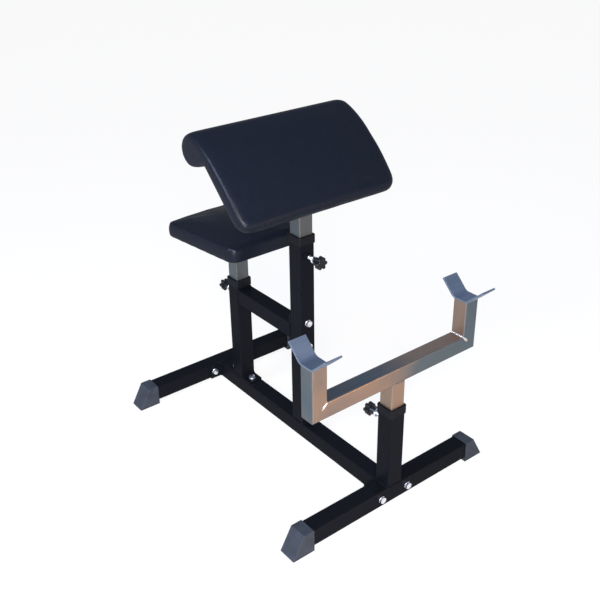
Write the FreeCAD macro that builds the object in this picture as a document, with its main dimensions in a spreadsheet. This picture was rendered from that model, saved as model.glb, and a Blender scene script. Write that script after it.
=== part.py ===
"""Preacher curl bench: a floor frame of square tubes with three telescopic posts.

The front post carries a bar rack, the middle post a sloping arm pad and the rear post a seat.
Millimetres, +Z up, -Y towards the bar rack (front), +Y towards the seat (rear). The origin is on
the floor, below the middle of the bench's length and width.
"""
import FreeCAD, Part
import math
import os
import re
import Sketcher

# Driving sizes, each written once. They go into the sheet that every piece is bound to.
SIZES = {
    # Square tubes: the frame's, and the smaller ones that slide in its posts and make the rack
    "tube_size": 50.0,
    "tube_wall": 2.0,
    "tube_round": 4.0,
    "slide_size": 45.0,
    "slide_wall": 2.0,
    "slide_round": 4.0,
    # Floor frame
    "front_foot_length": 600.0,
    "rear_foot_length": 560.0,
    "foot_spacing": 820.0,
    "plate_thick": 5.0,
    "flange_width": 124.0,
    "flange_bolt_spacing": 94.0,
    # Rubber caps on the ends of the feet
    "sole_depth": 12.0,
    "cap_overlap": 20.0,
    "cap_toe": 48.0,
    "cap_top_end": 12.0,
    "cap_wall": 2.5,
    "cap_foot_width": 56.0,
    "cap_round": 3.0,
    "cap_fit": 0.2,
    # Posts and the brace between the two rear ones
    "front_post_length": 247.0,
    "pad_post_length": 600.0,
    "seat_post_length": 345.0,
    "pad_post_distance": 369.0,
    "seat_post_distance": 685.0,
    "base_plate_length": 126.0,
    "base_bolt_spacing": 90.0,
    "brace_drop": 24.0,
    "brace_flange_height": 104.0,
    "brace_bolt_spacing": 74.0,
    # Plastic collars on the tops of the posts
    "collar_skirt": 20.0,
    "collar_wall": 3.0,
    "collar_lip": 4.0,
    "collar_round": 1.5,
    "collar_fit": 0.2,
    "slide_clearance": 0.3,
    # Hexagon bolts, nuts and washers of the frame
    "bolt_diameter": 10.0,
    "bolt_flats": 17.0,
    "bolt_head": 6.5,
    "bolt_nut": 10.0,
    "bolt_tail": 3.0,
    "bolt_clearance": 0.5,
    "thread_fit": 0.05,
    "washer_diameter": 20.0,
    "washer_thick": 2.0,
    "weld_nut": 8.0,
    # Clamp screws with their knobs
    "screw_drop": 55.0,
    "screw_tip_gap": 0.5,
    "screw_washer_reach": 26.0,
    "screw_in_knob": 22.0,
    "screw_chamfer": 1.0,
    "running_gap": 0.1,
    "jam_nut": 5.0,
    "hub_diameter": 17.0,
    "hub_flare": 23.0,
    "hub_length": 14.0,
    "head_thick": 18.0,
    "core_diameter": 25.0,
    "lobe_diameter": 11.0,
    "knob_round": 2.5,
    # Stop holes in the slide tubes
    "stop_hole": 11.0,
    "stop_pitch": 50.0,
    # Bar rack
    "rack_exposed": 78.0,
    "rack_overlap": 167.0,
    "rack_width": 556.0,
    "upright_height": 147.0,
    "cradle_width": 50.0,
    "cradle_thick": 5.0,
    "cradle_flat": 46.0,
    "cradle_bend": 18.0,
    "front_lip": 66.0,
    "front_lip_angle": 43.0,
    "rear_lip": 58.0,
    "rear_lip_angle": 45.0,
    # Fixings of both cushions: short bolts through a steel plate into tee nuts in the board
    "fixing_diameter": 8.0,
    "fixing_flats": 13.0,
    "fixing_head": 5.3,
    "fixing_washer": 16.0,
    "fixing_washer_thick": 1.6,
    "tee_barrel": 10.0,
    "tee_flange": 20.0,
    "tee_flange_thick": 1.5,
    "tee_length": 10.5,
    "tee_fit": 0.2,
    "board_fit": 0.3,
    # Seat, narrower towards the arm pad
    "seat_exposed": 140.0,
    "seat_overlap": 205.0,
    "seat_forward": 19.0,
    "seat_plate_width": 140.0,
    "seat_plate_length": 200.0,
    "seat_fixing_width": 100.0,
    "seat_fixing_length": 150.0,
    "seat_board_thick": 12.0,
    "seat_board_inset": 12.0,
    "seat_front_width": 262.0,
    "seat_rear_width": 334.0,
    "seat_length": 304.0,
    "seat_corner": 28.0,
    "seat_edge_height": 48.0,
    "seat_crown": 5.0,
    "seat_tuck": 3.0,
    "seat_edge_roll": 12.0,
    # Arm pad: a sloping slab whose top edge turns over into a thick roll
    "pad_angle": 45.0,
    "pad_exposed": 168.0,
    "pad_overlap": 160.0,
    "pad_plate_width": 200.0,
    "pad_plate_length": 130.0,
    "pad_fixing_width": 160.0,
    "pad_fixing_length": 90.0,
    "pad_board_thick": 12.0,
    "pad_board_inset": 14.0,
    "pad_board_upper": 78.0,
    "pad_width": 506.0,
    "pad_thick": 37.0,
    "pad_lower": 115.0,
    "pad_bend_start": 50.0,
    "pad_crown": 4.0,
    "pad_corner": 34.0,
    "pad_edge_roll": 14.0,
    "pad_tuck": 5.0,
    "roll_radius": 44.0,
    "roll_rise": 148.0,
    "roll_drop": 30.0,
    "roll_root": 84.0,
    # How far every cut runs past the face that it breaks through
    "overrun": 1.0,
}

# Places that follow from the sizes, as formulas of them
PLACES = {
    "foot_middle": "sole_depth + tube_size / 2",
    "foot_top": "sole_depth + tube_size",
    "front_reach": "cradle_flat / 2 + front_lip * cos(front_lip_angle)",
    "rear_reach": "max(cap_foot_width / 2; tube_size / 2 + washer_thick + bolt_nut + bolt_tail)",
    "front_y": "(front_reach - foot_spacing - rear_reach) / 2",
    "rear_y": "front_y + foot_spacing",
    "pad_y": "front_y + pad_post_distance",
    "seat_y": "front_y + seat_post_distance",
    "front_post_top": "foot_top + front_post_length",
    "pad_post_top": "foot_top + pad_post_length",
    "seat_post_top": "foot_top + plate_thick + seat_post_length",
    "brace_middle": "seat_post_top - brace_drop - tube_size / 2",
    "crossbar_bottom": "front_post_top + rack_exposed",
    "upright_top": "crossbar_bottom + upright_height",
    "upright_x": "rack_width / 2 - slide_size / 2",
    "seat_plate_bottom": "seat_post_top + seat_exposed",
    "seat_bottom": "seat_plate_bottom + plate_thick",
    "seat_middle_y": "seat_y - seat_forward",
    "pad_plate_bottom": "pad_post_top + pad_exposed",
    "bolt_hole": "bolt_diameter + 2 * bolt_clearance",
    "bolt_bore": "bolt_diameter + 2 * thread_fit",
    "fixing_hole": "fixing_diameter + 2 * bolt_clearance",
    "fixing_bore": "fixing_diameter + 2 * thread_fit",
    "bolt_grip": "tube_size + plate_thick + 2 * washer_thick",
    "knob_start": "screw_washer_reach + washer_thick + running_gap + jam_nut",
}

LOBES = 6
# Where the cushions' sections lie: round each corner from its outer end in, then over the crown
TURN_SHARES = (1.0, 0.92, 0.75, 0.5, 0.25, 0.0)
CROWN_SHARES = (0.75, 0.5, 0.25)
# The seat's arch that is left at its ends, and how far a cushion's shoulders drop and its face swells
END_ARCH_SHARE = 0.35
SHOULDER_SHARE = 0.25
SWELL_SHARE = 0.17
# Sine of the angle below which an edge counts as parallel to an axis
PARALLEL_SHARE = 1e-6
SIDES = {"left": -1, "right": 1}
KNOBS = ("rack", "pad", "seat")
FACING = {
    "up": FreeCAD.Rotation(),
    "down": FreeCAD.Rotation(FreeCAD.Vector(1, 0, 0), 180),
    "front": FreeCAD.Rotation(FreeCAD.Vector(1, 0, 0), 90),
    "rear": FreeCAD.Rotation(FreeCAD.Vector(1, 0, 0), -90),
}

doc = FreeCAD.newDocument("PreacherCurlBench")
sheet = doc.addObject("Spreadsheet::Sheet", "Sizes")
nodes = []


def fill_sheet():
    """Write every driving size into the sheet as a plain number with its name as alias."""
    for row, (name, number) in enumerate(SIZES.items(), 1):
        sheet.set(f"A{row}", "'" + name)
        sheet.set(f"B{row}", str(number))
        sheet.setAlias(f"B{row}", name)
    doc.recompute()


def formula(text):
    """Spell out a formula of sizes and places in cells of the sheet."""
    def spell(match):
        word = match.group(0)
        if word in PLACES:
            return f"({formula(PLACES[word])})"
        return f"Sizes.{word}" if word in SIZES else word
    return re.sub(r"[a-z_]+", spell, text)


def value(text):
    """The present number of a formula."""
    return float(sheet.evalExpression(formula(text)))


def bind(obj, **formulas):
    """Tie properties of an object to formulas."""
    for name, text in formulas.items():
        obj.setExpression(name, formula(text))
    return obj


def place(obj, x="0", y="0", z="0", facing="up"):
    """Stand an object at a point, with its own +Z towards the given side."""
    obj.Placement = FreeCAD.Placement(FreeCAD.Vector(), FACING[facing])
    for axis, text in zip("xyz", (x, y, z)):
        obj.setExpression(f"Placement.Base.{axis}", formula(text))
    return obj


def tilt(obj):
    """Lay an object's own XY plane on the arm pad's slope, over the pad post's axis."""
    turn = FreeCAD.Rotation(AXES["X"][1], value("pad_angle"))
    obj.Placement = FreeCAD.Placement(FreeCAD.Vector(), turn)
    obj.setExpression("Placement.Rotation.Angle", formula("pad_angle * 1 deg"))
    obj.setExpression("Placement.Base.y", formula("pad_y"))
    obj.setExpression("Placement.Base.z", formula("pad_plate_bottom"))
    return obj


def keep(obj, label):
    """Name an object as one of the bench's pieces."""
    obj.Label = label
    nodes.append(obj)
    return obj


# Sketches and features of the bodies

def new_body(label):
    """A body that is one of the bench's pieces."""
    return keep(doc.addObject("PartDesign::Body", label), label)


def new_sketch(body, role, offset="0"):
    """A sketch on one of the body's origin planes, moved along the plane's normal."""
    sketch = body.newObject("Sketcher::SketchObject", "Sketch")
    plane = next(item for item in body.Origin.OriginFeatures if item.Role == role)
    sketch.AttachmentSupport = (plane, [""])
    sketch.MapMode = "FlatFace"
    sketch.setExpression("AttachmentOffset.Base.z", formula(offset))
    return sketch


def fix_point(sketch, geometry, position, x, y):
    """Tie a point of a sketch to two formulas."""
    for kind, text in (("DistanceX", x), ("DistanceY", y)):
        number = sketch.addConstraint(Sketcher.Constraint(kind, geometry, position, value(text)))
        sketch.setExpression(f"Constraints[{number}]", formula(text))


def draw_outline(sketch, points):
    """Draw a closed outline of straight lines through points given as formulas."""
    first = sketch.GeometryCount
    count = len(points)
    corners = [FreeCAD.Vector(value(x), value(y), 0) for x, y in points]
    for index, corner in enumerate(corners):
        sketch.addGeometry(Part.LineSegment(corner, corners[(index + 1) % count]))
    for index in range(count):
        following = first + (index + 1) % count
        sketch.addConstraint(Sketcher.Constraint("Coincident", first + index, 2, following, 1))
    for index, (x, y) in enumerate(points):
        fix_point(sketch, first + index, 1, x, y)


def draw_box(sketch, width, height, x="0", y="0"):
    """Draw a rectangle about a middle point."""
    left, right = f"{x} - ({width}) / 2", f"{x} + ({width}) / 2"
    low, high = f"{y} - ({height}) / 2", f"{y} + ({height}) / 2"
    draw_outline(sketch, [(left, low), (right, low), (right, high), (left, high)])


def draw_circle(sketch, diameter, x="0", y="0"):
    """Draw a circle about a point."""
    centre = FreeCAD.Vector(value(x), value(y), 0)
    circle = Part.Circle(centre, FreeCAD.Vector(0, 0, 1), value(diameter) / 2)
    geometry = sketch.addGeometry(circle)
    number = sketch.addConstraint(Sketcher.Constraint("Diameter", geometry, value(diameter)))
    sketch.setExpression(f"Constraints[{number}]", formula(diameter))
    fix_point(sketch, geometry, 3, x, y)


def extrude(body, sketch, length):
    """Pad a sketch along its plane's normal."""
    pad = body.newObject("PartDesign::Pad", "Pad")
    pad.Profile = sketch
    bind(pad, Length=length)
    return pad


def pocket(body, sketch, depth, forward=False):
    """Cut a sketch into its body, against its plane's normal or along it, and see that it cuts."""
    doc.recompute()
    before = body.Tip.Shape.Volume
    cut = body.newObject("PartDesign::Pocket", "Pocket")
    cut.Profile = sketch
    cut.Reversed = forward
    bind(cut, Length=depth)
    doc.recompute()
    if cut.Shape.Volume >= before:
        raise RuntimeError(f"the pocket in {body.Label} cuts nothing")


def drill(body, role, offset, depth, diameter, centres):
    """Drill round holes against the normal of one of the body's planes."""
    sketch = new_sketch(body, role, offset)
    for x, y in centres:
        draw_circle(sketch, diameter, x, y)
    pocket(body, sketch, depth)


def round_edges(body, radius, chosen):
    """Fillet the edges of a body that a test picks out."""
    doc.recompute()
    base = body.Tip
    names = [f"Edge{number}" for number, edge in enumerate(base.Shape.Edges, 1) if chosen(edge)]
    fillet = body.newObject("PartDesign::Fillet", "Round")
    fillet.Base = (base, names)
    bind(fillet, Radius=radius)


def runs_along(edge, axis):
    """Whether an edge is straight and parallel to an axis."""
    if not isinstance(edge.Curve, Part.Line):
        return False
    return edge.Curve.Direction.cross(axis).Length < PARALLEL_SHARE


def far_from(edge, axis, least):
    """Whether an edge lies at least so far from an axis through the body's own origin."""
    return edge.CenterOfMass.cross(axis).Length >= least


# Square tubes and plates

AXES = {
    "X": ("YZ_Plane", FreeCAD.Vector(1, 0, 0)),
    "Y": ("XZ_Plane", FreeCAD.Vector(0, 1, 0)),
    "Z": ("XY_Plane", FreeCAD.Vector(0, 0, 1)),
}


def square_tube(label, axis, length, kind="tube"):
    """A square tube about one of the body's axes: middled on X and Y, and from zero up on Z."""
    role, direction = AXES[axis]
    body = new_body(label)
    sketch = new_sketch(body, role, "0" if axis == "Z" else f"-({length}) / 2")
    draw_box(sketch, f"{kind}_size", f"{kind}_size")
    draw_box(sketch, f"{kind}_size - 2 * {kind}_wall", f"{kind}_size - 2 * {kind}_wall")
    extrude(body, sketch, length)
    corner = value(f"{kind}_size") / math.sqrt(2)
    inner = corner - value(f"{kind}_wall") / 2
    round_edges(body, f"{kind}_round", lambda edge: runs_along(edge, direction)
                and far_from(edge, direction, inner))
    return body


def plate(label, role, offset, width, height, hole, centres):
    """A flat plate with round holes, on a plane of its body."""
    body = new_body(label)
    sketch = new_sketch(body, role, offset)
    draw_box(sketch, width, height)
    for x, y in centres:
        draw_circle(sketch, hole, x, y)
    extrude(body, sketch, "plate_thick")
    return body


def pair(spacing, along="x"):
    """Two points either side of the middle, along x or y."""
    ends = [f"-{spacing} / 2", f"{spacing} / 2"]
    return [(end, "0") if along == "x" else ("0", end) for end in ends]


def four(width, length):
    """Four corners about the middle."""
    return [(f"{a} * {width} / 2", f"{b} * {length} / 2") for a in (-1, 1) for b in (-1, 1)]


# Plain solids for the fasteners

def cylinder(diameter, height, z="0"):
    """A round bar up its own Z."""
    solid = doc.addObject("Part::Cylinder", "Cylinder")
    bind(solid, Radius=f"({diameter}) / 2", Height=height)
    return place(solid, z=z)


def hexagon(flats, height, z="0"):
    """A hexagonal bar up its own Z."""
    solid = doc.addObject("Part::Prism", "Hexagon")
    solid.Polygon = 6
    bind(solid, Circumradius=f"({flats}) / sqrt(3)", Height=height)
    return place(solid, z=z)


def fuse(*pieces):
    """One solid of several."""
    solid = doc.addObject("Part::MultiFuse", "Fusion")
    solid.Shapes = list(pieces)
    return solid


def cut(base, tool):
    """One solid less another."""
    solid = doc.addObject("Part::Cut", "Cut")
    solid.Base = base
    solid.Tool = tool
    return solid


def group(label, pieces):
    """Separate solids that share one name."""
    compound = doc.addObject("Part::Compound", label)
    compound.Links = pieces
    return keep(compound, label)


def bolt(diameter, flats, head, length):
    """A hexagon bolt with its head above zero and its shank below."""
    return fuse(hexagon(flats, head), cylinder(diameter, length, f"-({length})"))


def ring(outer, bore, height):
    """A round washer on zero."""
    return cut(cylinder(outer, height), cylinder(bore, f"{height} + 2 * overrun", "-overrun"))


def nut(flats, bore, height):
    """A hexagon nut on zero."""
    return cut(hexagon(flats, height), cylinder(bore, f"{height} + 2 * overrun", "-overrun"))


# Floor frame

def make_feet():
    """The two cross tubes on the floor, each with a pair of bolt holes."""
    for end in ("front", "rear"):
        foot = square_tube(f"{end}_foot_tube", "X", f"{end}_foot_length")
        place(foot, y=f"{end}_y", z="foot_middle")
        drill(foot, "XZ_Plane", "tube_size / 2 + overrun", "tube_size + 2 * overrun",
              "bolt_hole", pair("flange_bolt_spacing"))


def make_caps():
    """Rubber boots over the ends of the feet, sloping out to a broad sole."""
    for end in ("front", "rear"):
        for side, sign in SIDES.items():
            make_cap(f"{end}_{side}_foot_cap", f"{sign} * {end}_foot_length / 2", f"{end}_y", sign)


def make_cap(label, x, y, sign):
    """One boot: its own +X runs out of the tube's end, and its sole is on zero."""
    cap = new_body(label)
    top = "foot_top + cap_wall"
    profile = new_sketch(cap, "XZ_Plane", "-cap_foot_width / 2")
    draw_outline(profile, [("-cap_overlap", "0"), ("cap_toe", "0"), ("cap_top_end", top),
                           ("-cap_overlap", top)])
    extrude(cap, profile, "cap_foot_width")
    flanks = new_sketch(cap, "YZ_Plane", "cap_toe + overrun")
    for flank in (-1, 1):
        side = f"{flank} * cap_foot_width / 2"
        draw_outline(flanks, [(side, "0"), (side, top), (f"{flank} * (tube_size / 2 + cap_wall)", top)])
    pocket(cap, flanks, "cap_overlap + cap_toe + 2 * overrun")
    inner = value("cap_round - cap_overlap")
    round_edges(cap, "cap_round", lambda edge: edge.BoundBox.XMax > inner
                and edge.BoundBox.ZMax > value("sole_depth"))
    mouth = new_sketch(cap, "YZ_Plane", "-cap_overlap - overrun")
    draw_box(mouth, "tube_size + 2 * cap_fit", "tube_size + 2 * cap_fit", "0", "foot_middle")
    pocket(cap, mouth, "cap_overlap + overrun + cap_fit", forward=True)
    place(cap, x, y)
    if sign < 0:
        cap.Placement = FreeCAD.Placement(cap.Placement.Base,
                                          FreeCAD.Rotation(FreeCAD.Vector(0, 0, 1), 180))


def make_beam():
    """The long tube between the feet, with a bolting flange on each end."""
    length = "foot_spacing - tube_size - 2 * plate_thick"
    beam = square_tube("main_beam", "Y", length)
    place(beam, y="(front_y + rear_y) / 2", z="foot_middle")
    middle = "seat_post_distance - foot_spacing / 2"
    drill(beam, "XY_Plane", "tube_size / 2 + overrun", "tube_wall + 2 * overrun", "bolt_hole",
          [("0", f"{middle} {sign} base_bolt_spacing / 2") for sign in "-+"])
    faces = {"front": "front_y + tube_size / 2", "rear": "rear_y - tube_size / 2 - plate_thick"}
    for end, face in faces.items():
        flange = plate(f"{end}_beam_flange", "XZ_Plane", "-plate_thick", "flange_width", "tube_size",
                       "bolt_hole", pair("flange_bolt_spacing"))
        place(flange, y=face, z="foot_middle")


# Posts

def make_posts():
    """The three outer posts. Each has a clamp screw's hole in one face near its top."""
    posts = (("front_post", "front_y", "foot_top", "front_post_length", "rear"),
             ("pad_post", "pad_y", "foot_top", "pad_post_length", "front"),
             ("seat_post", "seat_y", "foot_top + plate_thick", "seat_post_length", "rear"))
    for label, y, z, length, side in posts:
        post = square_tube(label, "Z", length)
        place(post, y=y, z=z)
        offset = "tube_size / 2 + overrun" if side == "front" else "-tube_size / 2 + tube_wall + overrun"
        drill(post, "XZ_Plane", offset, "tube_wall + 2 * overrun", "bolt_hole",
              [("0", f"{length} - screw_drop")])
        make_collar(f"{label}_collar", y, f"{label}_top")
        if label == "pad_post":
            drill(post, "XZ_Plane", "tube_size / 2 + overrun", "tube_size + 2 * overrun", "bolt_hole",
                  [("0", f"brace_middle - foot_top {sign} brace_bolt_spacing / 2") for sign in "-+"])


def make_collar(label, y, top):
    """A plastic cap over a post's top edge, with a square hole that guides the slide tube."""
    collar = new_body(label)
    outer = "tube_size + 2 * collar_fit + 2 * collar_wall"
    up = AXES["Z"][1]
    rim = new_sketch(collar, "XY_Plane", "-collar_skirt")
    draw_box(rim, outer, outer)
    extrude(collar, rim, "collar_skirt + collar_lip")
    round_edges(collar, "tube_round + collar_wall", lambda edge: runs_along(edge, up))
    round_edges(collar, "collar_round", lambda edge: edge.BoundBox.ZMin > value("collar_lip / 2"))
    socket = new_sketch(collar, "XY_Plane")
    draw_box(socket, "tube_size + 2 * collar_fit", "tube_size + 2 * collar_fit")
    pocket(collar, socket, "collar_skirt + overrun")
    guide = new_sketch(collar, "XY_Plane", "collar_lip + overrun")
    draw_box(guide, "slide_size + 2 * slide_clearance", "slide_size + 2 * slide_clearance")
    pocket(collar, guide, "collar_lip + 2 * overrun")
    corner = value("tube_size / 2 + collar_fit") * math.sqrt(2) + value("collar_fit")
    round_edges(collar, "slide_round", lambda edge: runs_along(edge, up)
                and not far_from(edge, up, corner))
    place(collar, y=y, z=top)


def make_brace():
    """The tube from the seat post to the pad post, its flange, and the seat post's base plate."""
    length = "seat_post_distance - pad_post_distance - tube_size - plate_thick"
    brace = square_tube("upper_brace", "Y", length)
    place(brace, y="(pad_y + seat_y + plate_thick) / 2", z="brace_middle")
    flange = plate("brace_flange", "XZ_Plane", "-plate_thick", "tube_size", "brace_flange_height",
                   "bolt_hole", pair("brace_bolt_spacing", "y"))
    place(flange, y="pad_y + tube_size / 2", z="brace_middle")
    base = plate("seat_post_base_plate", "XY_Plane", "0", "tube_size", "base_plate_length",
                 "bolt_hole", pair("base_bolt_spacing", "y"))
    place(base, y="seat_y", z="foot_top")


def make_frame_fasteners():
    """Through bolts of the feet and the brace, and short bolts of the seat post's base plate."""
    half = "flange_bolt_spacing / 2"
    spots = [(f"{sign} * {half}", f"{end}_y - tube_size / 2{less}", "foot_middle")
             for end, less in (("front", ""), ("rear", " - plate_thick")) for sign in (-1, 1)]
    for sign in "-+":
        spots.append(("0", "pad_y - tube_size / 2", f"brace_middle {sign} brace_bolt_spacing / 2"))
    length = "bolt_grip + bolt_nut + bolt_tail"
    bolts, washers, nuts = [], [], []
    for x, y, z in spots:
        back = f"{y} + tube_size + plate_thick"
        bolts.append(place(bolt("bolt_diameter", "bolt_flats", "bolt_head", length),
                           x, f"{y} - washer_thick", z, "front"))
        washers.append(place(ring("washer_diameter", "bolt_hole", "washer_thick"), x, y, z, "front"))
        washers.append(place(ring("washer_diameter", "bolt_hole", "washer_thick"), x, back, z, "rear"))
        nuts.append(place(nut("bolt_flats", "bolt_bore", "bolt_nut"),
                          x, f"{back} + washer_thick", z, "rear"))
    short, welded = [], []
    for sign in "-+":
        y = f"seat_y {sign} base_bolt_spacing / 2"
        seat = "foot_top + plate_thick"
        reach = "washer_thick + plate_thick + tube_wall + weld_nut + bolt_tail"
        washers.append(place(ring("washer_diameter", "bolt_hole", "washer_thick"), y=y, z=seat))
        short.append(place(bolt("bolt_diameter", "bolt_flats", "bolt_head", reach),
                           y=y, z=f"{seat} + washer_thick"))
        welded.append(place(nut("bolt_flats", "bolt_bore", "weld_nut"), y=y,
                            z="foot_top - tube_wall", facing="down"))
    group("frame_bolts", bolts)
    group("frame_washers", washers)
    group("frame_lock_nuts", nuts)
    group("seat_post_bolts", short)
    group("seat_post_weld_nuts", welded)


# Clamp screws

def make_clamps():
    """A weld nut on each post, and in it a screw with washer, jam nut and lobed knob."""
    spots = {"rack": ("front_y", "front_post_top", "rear"), "pad": ("pad_y", "pad_post_top", "front"),
             "seat": ("seat_y", "seat_post_top", "rear")}
    weld_nuts = []
    for name in KNOBS:
        axis_y, top, side = spots[name]
        sign = "-" if side == "front" else "+"
        height = f"{top} - screw_drop"

        def out(piece, distance):
            """Put a piece on the screw's axis, so far out of the post's face."""
            return place(piece, y=f"{axis_y} {sign} (tube_size / 2 + {distance})", z=height, facing=side)

        weld_nuts.append(out(nut("bolt_flats", "bolt_bore", "weld_nut"), "0"))
        washer = ring("washer_diameter", "bolt_bore", "washer_thick")
        keep(out(washer, "screw_washer_reach"), f"{name}_clamp_washer")
        keep(out(make_screw(), "(slide_size / 2 + screw_tip_gap - tube_size / 2)"), f"{name}_clamp_screw")
        jam = nut("bolt_flats", "bolt_bore", "jam_nut")
        keep(out(jam, "(knob_start - jam_nut)"), f"{name}_clamp_jam_nut")
        out(make_knob(f"{name}_clamp_knob"), "knob_start")
    group("clamp_weld_nuts", weld_nuts)


def make_screw():
    """A threaded rod from its chamfered tip on zero to its end in the knob."""
    length = "tube_size / 2 + knob_start + screw_in_knob - slide_size / 2 - screw_tip_gap"
    tip = doc.addObject("Part::Cone", "Tip")
    bind(tip, Radius1="bolt_diameter / 2 - screw_chamfer", Radius2="bolt_diameter / 2",
         Height="screw_chamfer")
    return fuse(tip, cylinder("bolt_diameter", f"{length} - screw_chamfer", "screw_chamfer"))


def make_knob(label):
    """A lobed knob: a flared hub on zero, and a head of round lobes about a core."""
    knob = new_body(label)
    top = "hub_length + head_thick"
    profile = new_sketch(knob, "XZ_Plane")
    draw_outline(profile, [("bolt_bore / 2", "0"), ("hub_diameter / 2", "0"),
                           ("hub_flare / 2", "hub_length"), ("core_diameter / 2", "hub_length"),
                           ("core_diameter / 2", top), ("0", top),
                           ("0", "screw_in_knob"), ("bolt_bore / 2", "screw_in_knob")])
    turned = knob.newObject("PartDesign::Revolution", "Turned")
    turned.Profile = profile
    turned.ReferenceAxis = (profile, ["V_Axis"])
    turned.Angle = 360
    round_off = new_sketch(knob, "XY_Plane", "hub_length")
    draw_circle(round_off, "lobe_diameter", "core_diameter / 2")
    lobe = extrude(knob, round_off, "head_thick")
    doc.recompute()
    lobes = knob.newObject("PartDesign::PolarPattern", "Lobes")
    lobes.Originals = [lobe]
    upright = next(item for item in knob.Origin.OriginFeatures if item.Role == "Z_Axis")
    lobes.Axis = (upright, [""])
    lobes.Angle = 360
    lobes.Occurrences = LOBES
    knob.Tip = lobes
    rim = value(f"{top} - knob_round / 2")
    round_edges(knob, "knob_round", lambda edge: edge.BoundBox.ZMin > rim)
    return knob


# Slide tubes

def slide_tube(label, y, z, length, side, stops):
    """A tube that slides in a post, with a row of stop holes in one face."""
    tube = square_tube(label, "Z", length, "slide")
    offset = "slide_size / 2 + overrun" if side == "front" else "-slide_size / 2 + slide_wall + overrun"
    drill(tube, "XZ_Plane", offset, "slide_wall + 2 * overrun", "stop_hole",
          [("0", stop) for stop in stops])
    place(tube, y=y, z=z)
    return tube


def stop_row(overlap, below, above):
    """Heights of the stop holes from a slide tube's foot: one at the screw, some below and above."""
    return [f"{overlap} - screw_drop + {step} * stop_pitch" for step in range(-below, above + 1)]


# Bar rack

def make_rack():
    """The slide tube, the crossbar with mitred ends, two uprights and their bar cradles."""
    slide_tube("rack_slide_tube", "front_y", "front_post_top - rack_overlap", "rack_overlap + rack_exposed",
               "rear", stop_row("rack_overlap", 1, 1))
    crossbar = square_tube("rack_crossbar", "X", "rack_width", "slide")
    for sign in (-1, 1):
        mitre(crossbar, [(f"{sign} * (rack_width / 2 + overrun)", "-slide_size / 2 - overrun"),
                         (f"{sign} * (rack_width / 2 + overrun)", "slide_size / 2 + overrun"),
                         (f"{sign} * (rack_width / 2 - slide_size - overrun)", "slide_size / 2 + overrun")])
    place(crossbar, y="front_y", z="crossbar_bottom + slide_size / 2")
    for side, sign in SIDES.items():
        upright = square_tube(f"rack_{side}_upright", "Z", "upright_height", "slide")
        mitre(upright, [(f"{sign} * (slide_size / 2 + overrun)", "-overrun"),
                        (f"{-sign} * (slide_size / 2 + overrun)", "-overrun"),
                        (f"{-sign} * (slide_size / 2 + overrun)", "slide_size + overrun")])
        place(upright, f"{sign} * upright_x", "front_y", "crossbar_bottom")
        make_cradle(f"{side}_bar_cradle", f"{sign} * upright_x")


def mitre(body, points):
    """Cut a tube's end on the slant, right across its depth."""
    wedge = new_sketch(body, "XZ_Plane", "slide_size / 2 + overrun")
    draw_outline(wedge, points)
    pocket(body, wedge, "slide_size + 2 * overrun")


def make_cradle(label, x):
    """A bent strip on an upright: a flat middle and two lips that hold the bar between them."""
    cradle = new_body(label)
    sketch = new_sketch(cradle, "YZ_Plane", "-cradle_width / 2")
    below, above = [], []
    for sign, lip in (("-", "front_lip"), ("", "rear_lip")):
        out, up = f"{lip} * cos({lip}_angle)", f"{lip} * sin({lip}_angle)"
        below.append((f"{sign}(cradle_flat / 2 + {out})", up))
        below.append((f"{sign}(cradle_flat / 2)", "0"))
        above.append((f"{sign}(cradle_flat / 2 + {out} - cradle_thick * sin({lip}_angle))",
                      f"{up} + cradle_thick * cos({lip}_angle)"))
        above.append((f"{sign}(cradle_flat / 2 - cradle_thick * tan({lip}_angle / 2))", "cradle_thick"))
    draw_outline(sketch, [below[0], below[1], below[3], below[2], above[2], above[3], above[1], above[0]])
    extrude(cradle, sketch, "cradle_width")
    across = AXES["X"][1]
    flat, thick = value("cradle_flat"), value("cradle_thick")
    round_edges(cradle, "cradle_bend", lambda edge: runs_along(edge, across)
                and abs(edge.CenterOfMass.z - thick) < thick / 2 and abs(edge.CenterOfMass.y) < flat / 2)
    round_edges(cradle, "cradle_bend + cradle_thick", lambda edge: runs_along(edge, across)
                and edge.CenterOfMass.z < thick / 2
                and abs(abs(edge.CenterOfMass.y) - flat / 2) < thick / 2)
    place(cradle, x, "front_y", "upright_top")


# Cushions

def fixings(name, plate_bottom, board_thick, spots):
    """Bolts, washers and tee nuts of one cushion, about its plate's middle."""
    bolts, washers, tees = [], [], []
    reach = "fixing_washer_thick + plate_thick + tee_length"
    for x, y in spots:
        washers.append(place(ring("fixing_washer", "fixing_hole", "fixing_washer_thick"), x, y,
                             plate_bottom, "down"))
        bolts.append(place(bolt("fixing_diameter", "fixing_flats", "fixing_head", reach), x, y,
                           f"{plate_bottom} - fixing_washer_thick", "down"))
        barrel = cylinder("tee_barrel", "tee_length", "-tee_length")
        flange = cylinder("tee_flange", "tee_flange_thick", "-tee_flange_thick")
        bore = cylinder("fixing_bore", "tee_length + 2 * overrun", "-tee_length - overrun")
        tees.append(place(cut(fuse(barrel, flange), bore), x, y,
                          f"{plate_bottom} + plate_thick + {board_thick}"))
    return (group(f"{name}_fixing_bolts", bolts), group(f"{name}_fixing_washers", washers),
            group(f"{name}_tee_nuts", tees))


def board(label, thick, points, spots):
    """A plywood board with recessed holes for its tee nuts, its underside on zero."""
    panel = new_body(label)
    sketch = new_sketch(panel, "XY_Plane")
    draw_outline(sketch, points)
    extrude(panel, sketch, thick)
    above = f"{thick} + overrun"
    drill(panel, "XY_Plane", above, f"{thick} + 2 * overrun", "tee_barrel + 2 * tee_fit", spots)
    drill(panel, "XY_Plane", above, "tee_flange_thick + overrun", "tee_flange + 2 * tee_fit", spots)
    return panel


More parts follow.
